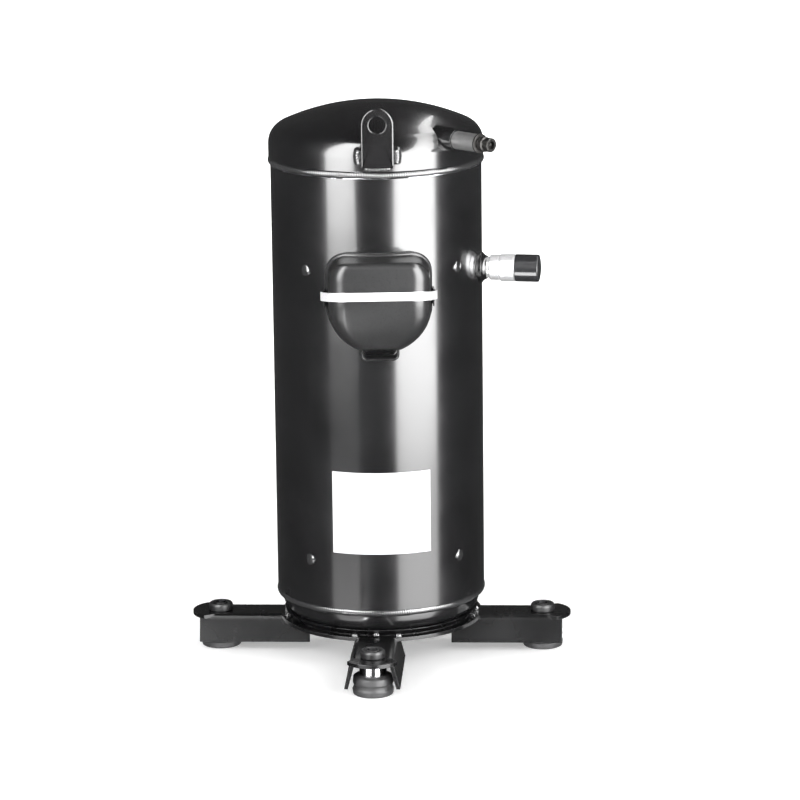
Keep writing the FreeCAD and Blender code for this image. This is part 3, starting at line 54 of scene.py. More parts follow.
# ---------------------------------------------------------------- materials
class Surface:
    """A Principled material that is put together node by node, in row-frame metres."""

    def __init__(self, name):
        self.material = bpy.data.materials.new(name)
        self.material.use_nodes = True
        self.tree = self.material.node_tree
        self.tree.nodes.clear()
        self.out = self.tree.nodes.new("ShaderNodeOutputMaterial")
        self.shader = self.tree.nodes.new("ShaderNodeBsdfPrincipled")
        self.join(self.shader.outputs[0], self.out.inputs["Surface"])
        self.place = self.node("ShaderNodeTexCoord").outputs["Object"]
        self.normal = None

    def node(self, kind, **settings):
        made = self.tree.nodes.new(kind)
        for name, value in settings.items():
            setattr(made, name, value)
        return made

    def join(self, source, target):
        self.tree.links.new(source, target)

    def put(self, value, socket):
        """Links a socket, or sets a plain value."""
        if isinstance(value, bpy.types.NodeSocket):
            self.join(value, socket)
        else:
            socket.default_value = value

    def math(self, operation, first, second=0.0, third=0.0, clamp=False):
        made = self.node("ShaderNodeMath", operation=operation, use_clamp=clamp)
        for value, socket in zip((first, second, third), made.inputs):
            self.put(value, socket)
        return made.outputs[0]

    def axis(self, letter):
        split = self.node("ShaderNodeSeparateXYZ")
        self.join(self.place, split.inputs[0])
        return split.outputs[letter]

    def stretched(self, scale):
        moved = self.node("ShaderNodeMapping")
        self.join(self.place, moved.inputs["Vector"])
        moved.inputs["Scale"].default_value = scale
        return moved.outputs[0]

    def noise(self, scale, detail=3.0, rough=0.5, place=None, distortion=0.0):
        made = self.node("ShaderNodeTexNoise")
        self.join(place or self.place, made.inputs["Vector"])
        made.inputs["Scale"].default_value = scale
        made.inputs["Detail"].default_value = detail
        made.inputs["Roughness"].default_value = rough
        made.inputs["Distortion"].default_value = distortion
        return made.outputs[0]

    def span(self, value, low, high, to_low=0.0, to_high=1.0):
        made = self.node("ShaderNodeMapRange")
        self.put(value, made.inputs["Value"])
        limits = {"From Min": low, "From Max": high, "To Min": to_low, "To Max": to_high}
        for name, number in limits.items():
            made.inputs[name].default_value = number
        return made.outputs["Result"]

    def blend(self, factor, first, second):
        """Mixes two colours, each a socket or three numbers."""
        made = self.node("ShaderNodeMix", data_type="RGBA")
        self.put(factor, made.inputs[0])
        for value, socket in ((first, made.inputs[6]), (second, made.inputs[7])):
            self.put(value if isinstance(value, bpy.types.NodeSocket) else (*value, 1.0), socket)
        return made.outputs[2]

    def rounded(self, radius):
        """A normal that turns softly over edges, as paint and wear do."""
        made = self.node("ShaderNodeBevel", samples=4)
        made.inputs["Radius"].default_value = radius
        self.normal = made.outputs[0]
        true = self.node("ShaderNodeNewGeometry").outputs["Normal"]
        dot = self.node("ShaderNodeVectorMath", operation="DOT_PRODUCT")
        self.join(self.normal, dot.inputs[0])
        self.join(true, dot.inputs[1])
        return self.math("SUBTRACT", 1.0, dot.outputs["Value"], clamp=True)

    def bump(self, height, depth):
        made = self.node("ShaderNodeBump")
        made.inputs["Distance"].default_value = depth
        self.join(height, made.inputs["Height"])
        if self.normal is not None:
            self.join(self.normal, made.inputs["Normal"])
        self.normal = made.outputs[0]

    def finish(self, colour, rough, **plain):
        self.put(colour, self.shader.inputs["Base Color"])
        self.put(rough, self.shader.inputs["Roughness"])
        for name, value in plain.items():
            self.shader.inputs[name.replace("_", " ")].default_value = value
        if self.normal is not None:
            self.join(self.normal, self.shader.inputs["Normal"])
        return self.material


def worn(s, edges, patch=90.0):
    """How far an edge is worn, from 0 to 1, broken up by a noise."""
    edge = s.span(edges, 0.02, 0.25)
    broken = s.span(s.noise(scale=patch, detail=4.0, rough=0.6), 0.42, 0.62)
    return s.math("MULTIPLY", edge, broken, clamp=True)


def tinted(colour, factor):
    return tuple(min(1.0, c * factor) for c in colour)


def enamel(name, colour, rough, peel=0.000008, edge=0.0006, gloss=0.5):
    """Sprayed black enamel: orange peel, faint dust, and a little bare grey on the edges."""
    bare_metal, spread = (0.30, 0.30, 0.31), 0.25
    s = Surface(name)
    edges = s.rounded(edge)
    s.bump(s.noise(scale=150.0, detail=2.0), peel)
    cloud = s.span(s.noise(scale=14.0, detail=4.0), *SWING)
    base = s.blend(cloud, tinted(colour, 1 - spread), tinted(colour, 1 + spread))
    dust = s.span(s.noise(scale=420.0, detail=3.0), 0.68, 0.8, 0.0, 0.25)
    base = s.blend(dust, base, tinted(colour, 3.5))
    wear = worn(s, edges)
    base = s.blend(s.math("MULTIPLY", wear, 0.35), base, bare_metal)
    shine = s.span(s.noise(scale=30.0, detail=3.0), *SWING, rough * 0.85, rough * 1.2)
    return s.finish(base, shine, Coat_Weight=0.35, Coat_Roughness=0.05, Specular_IOR_Level=gloss)


def metal(name, colour, rough, grain=(1.0, 1.0, 1.0), depth=0.000004, scale=700.0, metallic=1.0,
          dark=0.72, stain=None):
    """A bare or plated metal with fine tool marks along one direction, stains and bright edges."""
    s = Surface(name)
    edges = s.rounded(0.0003)
    marks = s.noise(scale, detail=3.0, rough=0.6, place=s.stretched(grain))
    s.bump(marks, depth)
    cloud = s.span(s.noise(scale=55.0, detail=4.0, rough=0.6), *SWING)
    base = s.blend(cloud, tinted(colour, dark), colour)
    if stain is not None:
        spots = s.span(s.noise(scale=140.0, detail=5.0, rough=0.65), 0.56, 0.7)
        base = s.blend(s.math("MULTIPLY", spots, 0.5), base, stain)
    base = s.blend(worn(s, edges), base, tinted(colour, 1.25))
    shine = s.span(marks, *SWING, rough * 0.75, rough * 1.3)
    return s.finish(base, shine, Metallic=metallic)


def casting(name, colour, rough=0.55):
    """Cast iron or aluminium as cast: coarse skin and darker hollows."""
    s = Surface(name)
    edges = s.rounded(0.0008)
    skin = s.noise(scale=420.0, detail=5.0, rough=0.65)
    s.bump(skin, 0.00012)
    s.bump(s.noise(scale=60.0, detail=3.0), 0.0003)
    base = s.blend(s.span(skin, *SWING), tinted(colour, 0.6), tinted(colour, 1.15))
    base = s.blend(worn(s, edges), base, tinted(colour, 1.8))
    return s.finish(base, s.span(skin, *SWING, rough * 0.8, rough * 1.2), Metallic=0.75)


def moulded(name, colour, rough, depth=0.00002, scale=1500.0, edge=0.0005, lift=1.5):
    """Moulded plastic or rubber: fine grain, soft edges, paler where it rubs."""
    s = Surface(name)
    edges = s.rounded(edge)
    grain = s.noise(scale=scale, detail=2.0)
    s.bump(grain, depth)
    s.bump(s.noise(scale=40.0, detail=2.0), 0.00004)
    cloud = s.span(s.noise(scale=32.0, detail=4.0, rough=0.6), *SWING)
    base = s.blend(cloud, tinted(colour, 0.82), tinted(colour, 1.18))
    base = s.blend(worn(s, edges, patch=60.0), base, tinted(colour, lift))
    return s.finish(base, s.span(grain, *SWING, rough * 0.88, rough * 1.12))


def film(name, colour):
    """A printed film label: blank, with a thin border line and faint handling marks."""
    low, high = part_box("nameplate")
    s = Surface(name)
    s.rounded(0.0002)
    s.bump(s.noise(scale=220.0, detail=2.0), 0.00001)
    inset, line = 2.4 * MM, 0.25 * MM
    level = s.axis("Z")
    middle = (low.z + high.z) / 2
    half = (high.z - low.z) / 2 - inset
    away = s.math("ABSOLUTE", s.math("SUBTRACT", level, middle))
    border = s.math("COMPARE", away, half, line)
    cloud = s.span(s.noise(scale=26.0, detail=3.0), *SWING)
    base = s.blend(cloud, tinted(colour, 0.96), colour)
    base = s.blend(s.math("MULTIPLY", border, 0.18), base, (0.5, 0.5, 0.55))
    smear = s.span(s.noise(scale=70.0, detail=4.0), 0.35, 0.7, 0.32, 0.45)
    return s.finish(base, smear, Coat_Weight=0.2, Coat_Roughness=0.2)


def glass(name, colour):
    """Fused glass round a pin: milky, a little streaked."""
    s = Surface(name)
    swirl = s.noise(scale=500.0, detail=3.0, rough=0.6, distortion=1.5)
    s.bump(swirl, 0.00001)
    base = s.blend(s.span(swirl, *SWING), tinted(colour, 0.75), tinted(colour, 1.3))
    return s.finish(base, s.span(swirl, *SWING, 0.06, 0.16), Transmission_Weight=0.35, IOR=1.52)


def laminated(name, colour):
    """A stack of thin punched steel sheets, seen as fine level lines."""
    s = Surface(name)
    sheet_pitch = 0.65 * MM
    phase = s.math("MULTIPLY", s.axis("Z"), 2 * math.pi / sheet_pitch)
    ridge = s.math("SINE", phase)
    lines = s.span(ridge, -1.0, 1.0)
    s.bump(lines, 0.00006)
    rust = s.span(s.noise(scale=60.0, detail=5.0, rough=0.65), 0.55, 0.75)
    base = s.blend(lines, tinted(colour, 0.6), tinted(colour, 1.1))
    base = s.blend(s.math("MULTIPLY", rust, 0.25), base, (0.18, 0.09, 0.05))
    return s.finish(base, s.span(s.noise(scale=300.0), *SWING, 0.35, 0.5), Metallic=0.85)


def wound(name, colour):
    """Varnished copper wire: strands laid round the bore, with lacing marks."""
    s = Surface(name)
    strand_turns, lacings = 5200.0, 48.0
    around = s.math("ARCTAN2", s.axis("Y"), s.axis("X"))
    wander = s.math("MULTIPLY", s.noise(scale=60.0, detail=2.0), 3.0)
    rows = s.math("ADD", s.math("MULTIPLY", s.axis("Z"), strand_turns), wander)
    strand = s.span(s.math("SINE", rows), -1.0, 1.0)
    lacing = s.span(s.math("SINE", s.math("MULTIPLY", around, lacings)), 0.9, 1.0)
    s.bump(strand, 0.0003)
    s.bump(lacing, 0.0003)
    base = s.blend(strand, tinted(colour, 0.4), tinted(colour, 1.2))
    base = s.blend(s.math("MULTIPLY", lacing, 0.8), base, (0.72, 0.68, 0.58))
    shine = s.span(s.noise(scale=200.0), *SWING, 0.25, 0.42)
    return s.finish(base, shine, Metallic=0.55, Coat_Weight=0.5)


BLACK = (0.0085, 0.0085, 0.009)
FINISHES = {
    "shell_paint": lambda n: enamel(n, BLACK, 0.2),
    "base_paint": lambda n: enamel(n, (0.005, 0.005, 0.0053), 0.26, 0.00002, 0.0009, gloss=0.3),
    # The welds are painted black like the shell; this lighter grey is a painted sheen that stands in for
    # the bright glints on the beads.
    "weld_paint": lambda n: enamel(n, (0.03, 0.03, 0.031), 0.15, peel=0.00003, gloss=1.0),
    "lug_paint": lambda n: enamel(n, (0.007, 0.007, 0.0073), 0.22, edge=0.0008),
    "foot_rubber": lambda n: moulded(n, (0.036, 0.036, 0.037), 0.5, 0.00004, 900.0, 0.0008, 1.4),
    "zinc_plate": lambda n: metal(n, (0.84, 0.84, 0.86), 0.12, (1, 1, 6), stain=(0.6, 0.6, 0.58)),
    "nameplate_film": lambda n: film(n, (0.76, 0.75, 0.765)),
    "plated_fitting": lambda n: metal(n, (0.95, 0.95, 0.96), 0.3, (6, 6, 1), metallic=0.6, dark=0.86),
    "cap_plastic": lambda n: moulded(n, (0.03, 0.03, 0.032), 0.16, 0.000006),
    "stub_steel": lambda n: metal(n, (0.28, 0.28, 0.28), 0.36, (6, 6, 1), metallic=0.8,
                                  stain=(0.2, 0.19, 0.18)),
    "valve_metal": lambda n: metal(n, (0.06, 0.058, 0.056), 0.34, metallic=0.9,
                                   stain=(0.05, 0.05, 0.05)),
    "cover_plastic": lambda n: moulded(n, (0.02, 0.02, 0.0205), 0.3, 0.0000006, 2200.0, 0.0009, 1.6),
    "gasket_rubber": lambda n: moulded(n, (0.03, 0.03, 0.03), 0.7),
    "strap_steel": lambda n: metal(n, (0.96, 0.96, 0.97), 0.34, (1, 1, 8), metallic=0.35, dark=0.9),
    "terminal_steel": lambda n: metal(n, (0.6, 0.6, 0.6), 0.35, stain=(0.3, 0.28, 0.25)),
    "terminal_glass": lambda n: glass(n, (0.22, 0.33, 0.30)),
    "pin_metal": lambda n: metal(n, (0.7, 0.68, 0.62), 0.22),
    "block_plastic": lambda n: moulded(n, (0.12, 0.12, 0.12), 0.45),
    "brass_screw": lambda n: metal(n, (0.72, 0.56, 0.28), 0.28, stain=(0.4, 0.28, 0.12)),
    "scroll_iron": lambda n: metal(n, (0.36, 0.36, 0.37), 0.38, (1, 1, 10), 0.00001, 500.0),
    "frame_iron": lambda n: casting(n, (0.24, 0.24, 0.25)),
    "bush_bronze": lambda n: metal(n, (0.62, 0.44, 0.24), 0.36, (1, 1, 8), stain=(0.25, 0.2, 0.14)),
    "bolt_steel": lambda n: metal(n, (0.2, 0.2, 0.21), 0.42, stain=(0.1, 0.08, 0.07)),
    "oldham_alloy": lambda n: metal(n, (0.64, 0.64, 0.66), 0.4, (1, 1, 1), 0.00001),
    "machined_steel": lambda n: metal(n, (0.58, 0.58, 0.6), 0.26, (1, 1, 12), 0.000006),
    "lamination_steel": lambda n: laminated(n, (0.34, 0.35, 0.37)),
    "cast_aluminium": lambda n: casting(n, (0.7, 0.7, 0.72), 0.45),
    "winding_copper": lambda n: wound(n, (0.62, 0.3, 0.13)),
    "lead_sleeve": lambda n: moulded(n, (0.6, 0.1, 0.07), 0.5, 0.00004, 1800.0),
    "dark_steel": lambda n: metal(n, (0.07, 0.07, 0.072), 0.4, stain=(0.04, 0.035, 0.035)),
    "dark_rubber": lambda n: moulded(n, (0.011, 0.011, 0.0115), 0.42, 0.00003, 900.0, 0.0008, 1.5),
    "protector_can": lambda n: moulded(n, (0.1, 0.1, 0.1), 0.4),
    "magnet_ferrite": lambda n: casting(n, (0.16, 0.16, 0.17), 0.6),
}
PAINTS = {slot: make(slot) for slot, make in FINISHES.items()}
SLOT_OF = {entry["node"]: entry["material_slot"] for entry in frame["record"]["subparts"]}
# Nodes that look darker in the photo than the rest of their slot.
FINISH_OF = {"mount_sleeves": "dark_steel", "mount_caps": "dark_rubber"}


def dress_nodes():
    """Gives every carried-over CAD node the finish of its material slot."""
    for name, thing in NODES.items():
        paint = PAINTS[FINISH_OF.get(name, SLOT_OF[name])]
        thing.data.materials.clear()
        thing.data.materials.append(paint)


# ---------------------------------------------------------------- mesh helpers
def around(azimuth):
    """Turns a point with x across, y outward and z up to its place round the shell axis."""
    angle = math.radians(azimuth)
    side = Vector((math.cos(angle), math.sin(angle), 0.0))
    out = Vector((math.sin(angle), -math.cos(angle), 0.0))
    return lambda x, y, z: (side * x + out * y) * MM + Vector((0.0, 0.0, z * MM))


def place_mesh(name, corners, faces):
    mesh = bpy.data.meshes.new(name)
    mesh.from_pydata(corners, [], faces)
    made = bpy.data.objects.new(name, mesh)
    bpy.context.scene.collection.objects.link(made)
    return made


def add_mesh(name, corners, faces, sharp):
    """A smooth-shaded mesh, with its normals outward and its edges sharp past an angle."""
    made = place_mesh(name, corners, faces)
    mesh = made.data
    mesh.validate()
    tool = bmesh.new()
    tool.from_mesh(mesh)
    bmesh.ops.recalc_face_normals(tool, faces=tool.faces)
    tool.to_mesh(mesh)
    tool.free()
    mesh.shade_smooth()
    mesh.set_sharp_from_angle(angle=math.radians(sharp))
    return made


def settle(piece, body, *nodes):
    """The piece takes the finish and the body of the nodes that it stands for."""
    slot = SLOT_OF[nodes[0]]
    piece.data.materials.clear()
    piece.data.materials.append(PAINTS[FINISH_OF.get(nodes[0], slot)])
    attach(piece, body)
    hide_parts(*nodes)


class Shapes:
    """Collects several closed forms into one mesh."""

    def __init__(self):
        self.corners, self.faces = [], []

    def rows(self, rows, ring=True, loop=False, cap=True):
        """Joins rows of points with quads. A ring closes each row, a loop closes the rows."""
        base, wide, tall = len(self.corners), len(rows[0]), len(rows)
        for row in rows:
            self.corners += row
        for r in range(tall if loop else tall - 1):
            below, above = base + r * wide, base + (r + 1) % tall * wide
            for k in range(wide if ring else wide - 1):
                after = (k + 1) % wide
                self.faces.append((below + k, below + after, above + after, above + k))
        if cap and ring and not loop:
            self.faces.append(tuple(base + k for k in range(wide)))
            self.faces.append(tuple(base + (tall - 1) * wide + k for k in range(wide)))

    def turned(self, profile, centre, steps):
        """A closed profile of (radius, level) in mm, turned about an upright line."""
        rows = []
        for k in range(steps):
            angle = 2 * math.pi * k / steps
            c, n = math.cos(angle), math.sin(angle)
            rows.append([Vector((centre[0] + r * c, centre[1] + r * n, z)) * MM for r, z in profile])
        self.rows(rows, loop=True)

    def add(self, name, sharp):
        return add_mesh(name, self.corners, self.faces, sharp)


def arc(start, end, middle, steps):
    """Points from start to end round a middle, by the shorter way, without the first."""
    first, last = start - middle, end - middle
    begin = math.atan2(first.y, first.x)
    sweep = (math.atan2(last.y, last.x) - begin + math.pi) % (2 * math.pi) - math.pi
    made = []
    for k in range(1, steps + 1):
        angle = begin + sweep * k / steps
        made.append(middle + Vector((math.cos(angle), math.sin(angle))) * first.length)
    return made


def evenly(line, count):
    """Resamples a closed clockwise outline to evenly spaced (x, z, outward x, outward z)."""
    lengths = [0.0]
    for k, point in enumerate(line):
        lengths.append(lengths[-1] + (line[(k + 1) % len(line)] - point).length)
    spots, k = [], 0
    for i in range(count):
        target = lengths[-1] * i / count
        while lengths[k + 1] <= target:
            k += 1
        share = (target - lengths[k]) / (lengths[k + 1] - lengths[k])
        spots.append(line[k].lerp(line[(k + 1) % len(line)], share))
    found = []
    for i, point in enumerate(spots):
        along = spots[(i + 1) % count] - spots[i - 1]
        out = Vector((-along.y, along.x)).normalized()
        found.append((point.x, point.y, out.x, out.y))
    return found


def curved(points, steps):
    """A closed outline of (x, y, fillet) corners, with every corner rounded by its fillet."""
    out = []
    count = len(points)
    for k in range(count):
        before, here, after = (Vector(points[(k + d) % count][:2]) for d in (-1, 0, 1))
        fillet = points[k][2]
        if fillet <= 0:
            out.append((here.x, here.y))
            continue
        to_before, to_after = (before - here).normalized(), (after - here).normalized()
        half = to_before.angle(to_after) / 2
        run = fillet / math.tan(half)
        middle = here + (to_before + to_after).normalized() * (fillet / math.sin(half))
        start = here + to_before * run
        out += [tuple(p) for p in [start] + arc(start, here + to_after * run, middle, steps)]
    return out


def ripple(along, across, pitch):
    """Fish-scale ripple of a weld bead, from 0 to 1, bowed across the bead."""
    phase = along / pitch + 0.55 * across * across
    saw = phase - math.floor(phase)
    return saw * saw * (3 - 2 * saw) if saw < 0.8 else (1 - saw) * 4.48


def bead(shapes, path, width, height, pitch, wander, sink=1.0, loop=False):
    """A weld bead along (point, along, out) frames in mm, with ripples and a slightly uneven edge."""
    rows, travelled = [], 0.0
    count, end_share, across_steps = len(path), 0.12, 10
    for k, (point, along, out) in enumerate(path):
        if k:
            travelled += (point - path[k - 1][0]).length
        side = along.cross(out).normalized()
        turn = 2 * math.pi * k / count
        drift = wander * (math.sin(9 * turn + 1.0) + 0.6 * math.sin(23 * turn)
                          + 0.4 * math.sin(51 * turn + 2.0))
        from_end = max(0.0, min(k, count - 1 - k) / (count * end_share))
        taper = 1.0 if loop else min(1.0, math.sqrt(from_end) + 0.05)
        row = []
        for i in range(across_steps + 1):
            u = 2 * i / across_steps - 1
            dome = math.sqrt(max(0.0, 1 - u * u * 0.98))
            lift = height * dome * (0.88 + 0.14 * ripple(travelled, u, pitch)) * taper
            reach = u * width / 2 * (1 + 0.12 * drift) * (0.35 + 0.65 * taper)
            row.append((point + side * (reach + drift * 0.12) + out * lift) * MM)
        row.append((point + side * width * 0.4 - out * sink) * MM)
        row.append((point - side * width * 0.4 - out * sink) * MM)
        rows.append(row)
    shapes.rows(rows, loop=loop)


# ---------------------------------------------------------------- pieces
FRONT = around(4.0)
BEAD_SHARP = 60.0


def ring_path(radius, level, lean, steps):
    """Frames of a level circle; lean tips the outward direction down, in degrees."""
    path = []
    tip = math.radians(lean)
    for k in range(steps):
        angle = 2 * math.pi * k / steps
        out = Vector((math.cos(angle), math.sin(angle), 0.0))
        along = Vector((-math.sin(angle), math.cos(angle), 0.0))
        leaning = out * math.cos(tip) - Vector((0, 0, math.sin(tip)))
        path.append((out * radius + Vector((0, 0, level)), along, leaning))
    return path


def add_seam_welds():
    """Machine-laid beads over the rim under the cap and round the foot of the shell."""
    pitch, steps = 1.9, 1300
    low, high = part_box("top_seam_weld")
    path = ring_path(radius=85.2, level=(low.z + high.z) / 2 / MM, lean=0.0, steps=steps)
    top = Shapes()
    bead(top, path, 6.0, 2.9, pitch, wander=0.5, loop=True)
    settle(top.add("seam_bead_top", BEAD_SHARP), "casing", "top_seam_weld")
    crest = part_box("bottom_seam_weld")[1].z / MM
    path = ring_path(radius=84.3, level=crest - 2.4, lean=10.0, steps=steps)
    bottom = Shapes()
    bead(bottom, path, 5.8, 2.3, pitch, sink=0.6, wander=0.6, loop=True)
    settle(bottom.add("seam_bead_bottom", BEAD_SHARP), "casing", "bottom_seam_weld")


def lay_fillet(shapes, spot, width, height):
    """A short hand-laid fillet on the cap. The spot gives (x, z, sideways tip) from 0 to 1."""
    cap_radius, sunk, steps, nudge = 87.5, 0.2, 46, 0.01
    path = []
    for k in range(steps + 1):
        t = k / steps
        x, z, tip = spot(t)
        x2, z2, _ = spot(min(1.0, t + nudge))
        x1, z1, _ = spot(max(0.0, t - nudge))
        reach = math.sqrt(cap_radius ** 2 - x * x) - sunk
        here = FRONT(x, reach, z) / MM
        along = (FRONT(x2, 0, z2) - FRONT(x1, 0, z1)).normalized()
        out = (FRONT(math.sin(tip), math.cos(tip), 0) / MM).normalized()
        path.append((here, along, out))
    bead(shapes, path, width, height, pitch=2.2, sink=0.5, wander=0.8)


def add_lug_welds():
    """Hand-laid fillets down both sides of the lug and under it."""
    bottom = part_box("lug_weld")[0].z / MM + 2.4
    half, bow, tilt, run, foot_half = 13.9, 1.2, 0.6, 13.5, 11.5
    shapes = Shapes()

    def side_spot(side):
        return lambda t: (side * (half + bow * math.sin(math.pi * t)), bottom + 2 + run * t, side * tilt)

    def foot_spot(t):
        return -foot_half + 2 * foot_half * t, bottom - 0.6 - 0.8 * math.sin(math.pi * t), 0.0

    for side in (-1, 1):
        lay_fillet(shapes, side_spot(side), width=8.6, height=4.2)
    lay_fillet(shapes, foot_spot, width=5.0, height=2.4)
    settle(shapes.add("lug_beads", BEAD_SHARP), "casing", "lug_weld")


def add_base_welds():
    """Short fillets where the arms meet the rim that seats the bowl."""
    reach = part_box("base_welds")[1].y / MM - 3.4
    steps, sweep, rise = 16, 3.6, 0.85
    shapes = Shapes()
    for quarter in range(4):
        for middle, level in ((-13.0, 30.0), (0.0, 31.5), (13.0, 30.0)):
            path = []
            for k in range(steps + 1):
                here = around(90 * quarter + middle + (k / steps - 0.5) * sweep)
                point = here(0, reach, level) / MM
                along = (here(1, 0, 0) / MM).normalized()
                out = (here(0, 0.5, 0) / MM + Vector((0, 0, rise))).normalized()
                path.append((point, along, out))
            bead(shapes, path, 5.0, 2.6, pitch=1.9, sink=0.6, wander=1.0)
    settle(shapes.add("base_beads", BEAD_SHARP), "casing", "base_welds")


def add_plug_welds():
    """Domed plugs with set-down ripples, a little irregular."""
    rings = [(1.0, 1.85), (1.7, 1.5), (2.4, 1.62), (3.1, 1.2), (3.7, 1.15), (4.4, 0.6), (5.0, -0.4)]
    first_azimuth, shell_radius, steps = 51.5, 86.0, 28
    shapes = Shapes()
    for level in (92.4, 332.4):
        for quarter in range(4):
            turn = around(first_azimuth + 90 * quarter)
            rows = []
            for index, (radius, rise) in enumerate(rings):
                row = []
                for k in range(steps):
                    angle = 2 * math.pi * k / steps
                    uneven = (1 + 0.06 * math.sin(3 * angle + quarter + level)
                              + 0.04 * math.sin(5 * angle + index))
                    x, z = radius * uneven * math.cos(angle), radius * uneven * math.sin(angle)
                    row.append(turn(x, math.sqrt(shell_radius ** 2 - x * x) + rise, level + z))
                rows.append(row)
            shapes.rows(rows)
    settle(shapes.add("plug_beads", 50.0), "casing", "plug_welds")


def add_lug():
    """The lug plate with rolled edges round its outline and hole."""
    low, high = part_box("lifting_lug")
    half, thick, roll, crest, hole = 13.2, 5.0, 1.5, 0.8, 6.6
    chamfer, margin, start = 0.5, 0.3, 87.7
    bottom, hole_level = low.z / MM, high.z / MM - half
    centre = Vector((0.0, hole_level))
    right, left = Vector((half, bottom)), Vector((-half, bottom))
    crown = arc(Vector((-half, hole_level)), Vector((0.0, hole_level + half)), centre, 20)
    crown += arc(crown[-1], Vector((half, hole_level)), centre, 20)
    outline = evenly([left, Vector((-half, hole_level))] + crown + [right], 150)
    angles = [math.radians(18 * k) for k in range(6)]
    outer = [(0.0, chamfer), (chamfer, 0.0)]
    outer += [(thick - roll + roll * math.sin(a), roll * (1 - math.cos(a))) for a in angles]
    outer.append((thick, roll + margin))
    inner = [(thick, crest + margin)]
    inner += [(thick - crest + crest * math.cos(a), crest * (1 - math.sin(a))) for a in angles]
    inner += [(chamfer, 0.0), (0.0, chamfer)]
    rows = []
    for depth, inset in outer:
        rows.append([FRONT(x - nx * inset, start + depth, z - nz * inset) for x, z, nx, nz in outline])
    for depth, inset in inner:
        row = []
        for x, z, _, _ in outline:
            spot = centre + (Vector((x, z)) - centre).normalized() * (hole + inset)
            row.append(FRONT(spot.x, start + depth, spot.y))
        rows.append(row)
    shapes = Shapes()
    shapes.rows(rows, loop=True)
    settle(shapes.add("lug_plate", 50.0), "casing", "lifting_lug")


def cover_outline(count):
    """Front outline of the terminal cover, clockwise from the middle of its top, in mm."""
    half, top, bottom, corner = 40.5, 348.0, 274.0, 15.0
    side_low, foot, sweep = 303.0, 16.3, 41.0
    elbow = Vector((half - corner, top - corner))
    line = [Vector((0.0, top)), elbow + Vector((0.0, corner))]
    line += arc(line[-1], elbow + Vector((corner, 0.0)), elbow, 24)
    start, end = Vector((half, side_low)), Vector((foot, bottom))
    chord = end - start
    inward = Vector((chord.y, -chord.x)).normalized()
    middle = (start + end) / 2 + inward * math.sqrt(sweep ** 2 - chord.length_squared / 4)
    line += [start] + arc(start, end, middle, 24)
    return evenly(line + [Vector((-p.x, p.y)) for p in reversed(line[1:])], count)


def eased(outline, spread):
    """The same outline with its outward directions averaged over their neighbours."""
    count, made = len(outline), []
    for i, (x, z, _, _) in enumerate(outline):
        near = [Vector(outline[(i + d) % count][2:]) for d in range(-spread, spread + 1)]
        out = sum(near, Vector((0.0, 0.0))).normalized()
        made.append((x, z, out.x, out.y))
    return made


def cover_reach(level):
    """How far out the cover's face stands at a level: upright above, leaning back below."""
    lean_level, front, drop, run, power = 316.0, 120.0, 15.5, 42.0, 1.7
    return front - drop * (max(0.0, lean_level - level) / run) ** power


def cover_flange(outline):
    """Rows of the flange, from its seat on the shell out to the foot of the cover's wall."""
    seat, out, deep, soft, fine = 88.6, 2.1, 2.6, 0.8, 0.25
    ease = 0.7
    rows = []
    for grow, rise in ((out, 0.0), (out, deep - soft), (out - fine, deep - fine), (out - soft, deep),
                       (ease, deep), (0.0, deep + ease)):
        row = []
        for x, z, nx, nz in outline:
            px, pz = x + nx * grow, z + nz * grow
            row.append(FRONT(px, math.sqrt(seat ** 2 - px * px) + rise, pz))
        rows.append(row)
    return rows


def cover_skin(outline):
    """Rows of the cover's soft edges and of its slightly domed face."""
    side_round, side_deep, level_round, edge_steps = 14.0, 14.0, 5.0, 12
    middle_level, dome = 314.0, 0.5
    rows = []
    for k in range(edge_steps + 1):
        angle = math.radians(90 * k / edge_steps)
        turned_in = 1 - math.cos(angle)
        row = []
        for x, z, nx, nz in outline:
            deep = (level_round + (side_deep - level_round) * nx * nx) * (1 - math.sin(angle))
            px, pz = x - nx * side_round * turned_in, z - nz * level_round * turned_in
            row.append(FRONT(px, cover_reach(pz) - deep, pz))
        rows.append(row)
    rim = [(x - nx * side_round, z - nz * level_round) for x, z, nx, nz in outline]
    for share in (0.85, 0.68, 0.5, 0.32, 0.15):
        row = []
        for x, z in rim:
            px, pz = x * share, middle_level + (z - middle_level) * share
            row.append(FRONT(px, cover_reach(pz) + dome * (1 - share), pz))
        rows.append(row)
    return rows


def add_cover():
    """The terminal cover: flange, soft side edges, leaning face and cable lip, with a wall."""
    outline, sharp = eased(cover_outline(176), 7), 40.0
    shapes = Shapes()
    shapes.rows(cover_flange(outline) + cover_skin(outline), cap=False)
    last = len(shapes.corners) - len(outline)
    shapes.faces.append(tuple(range(last, len(shapes.corners))))
    cover = shapes.add("cover_moulding", sharp)
    thicken(cover, 2.0)
    settle(joined(cover, add_lip(), sharp), "cover", "terminal_cover")


def add_lip():
    """The short trough under the cover where the supply lead comes out."""
    half, low, high, start, end, corner = 13.5, 267.5, 276.0, 88.8, 102.0, 3.5
    angles = (0.0, 0.4, 0.8, 1.2, math.pi / 2)
    rows = []
    for reach, grow in ((start, 0.0), (end - 1.6, 0.0), (end - 0.5, 0.35), (end, 0.9)):
        wide, floor = half + grow, low - grow
        bend = [(wide - corner * (1 - math.cos(a)), floor + corner * (1 - math.sin(a))) for a in angles]
        section = [(-wide, high)] + [(-x, z) for x, z in bend] + bend[::-1] + [(wide, high)]
        rows.append([FRONT(x, reach, z) for x, z in section])
    shapes = Shapes()
    shapes.rows(rows, ring=False)
    lip = shapes.add("cover_lip", 50.0)
    thicken(lip, 1.6)
    return lip


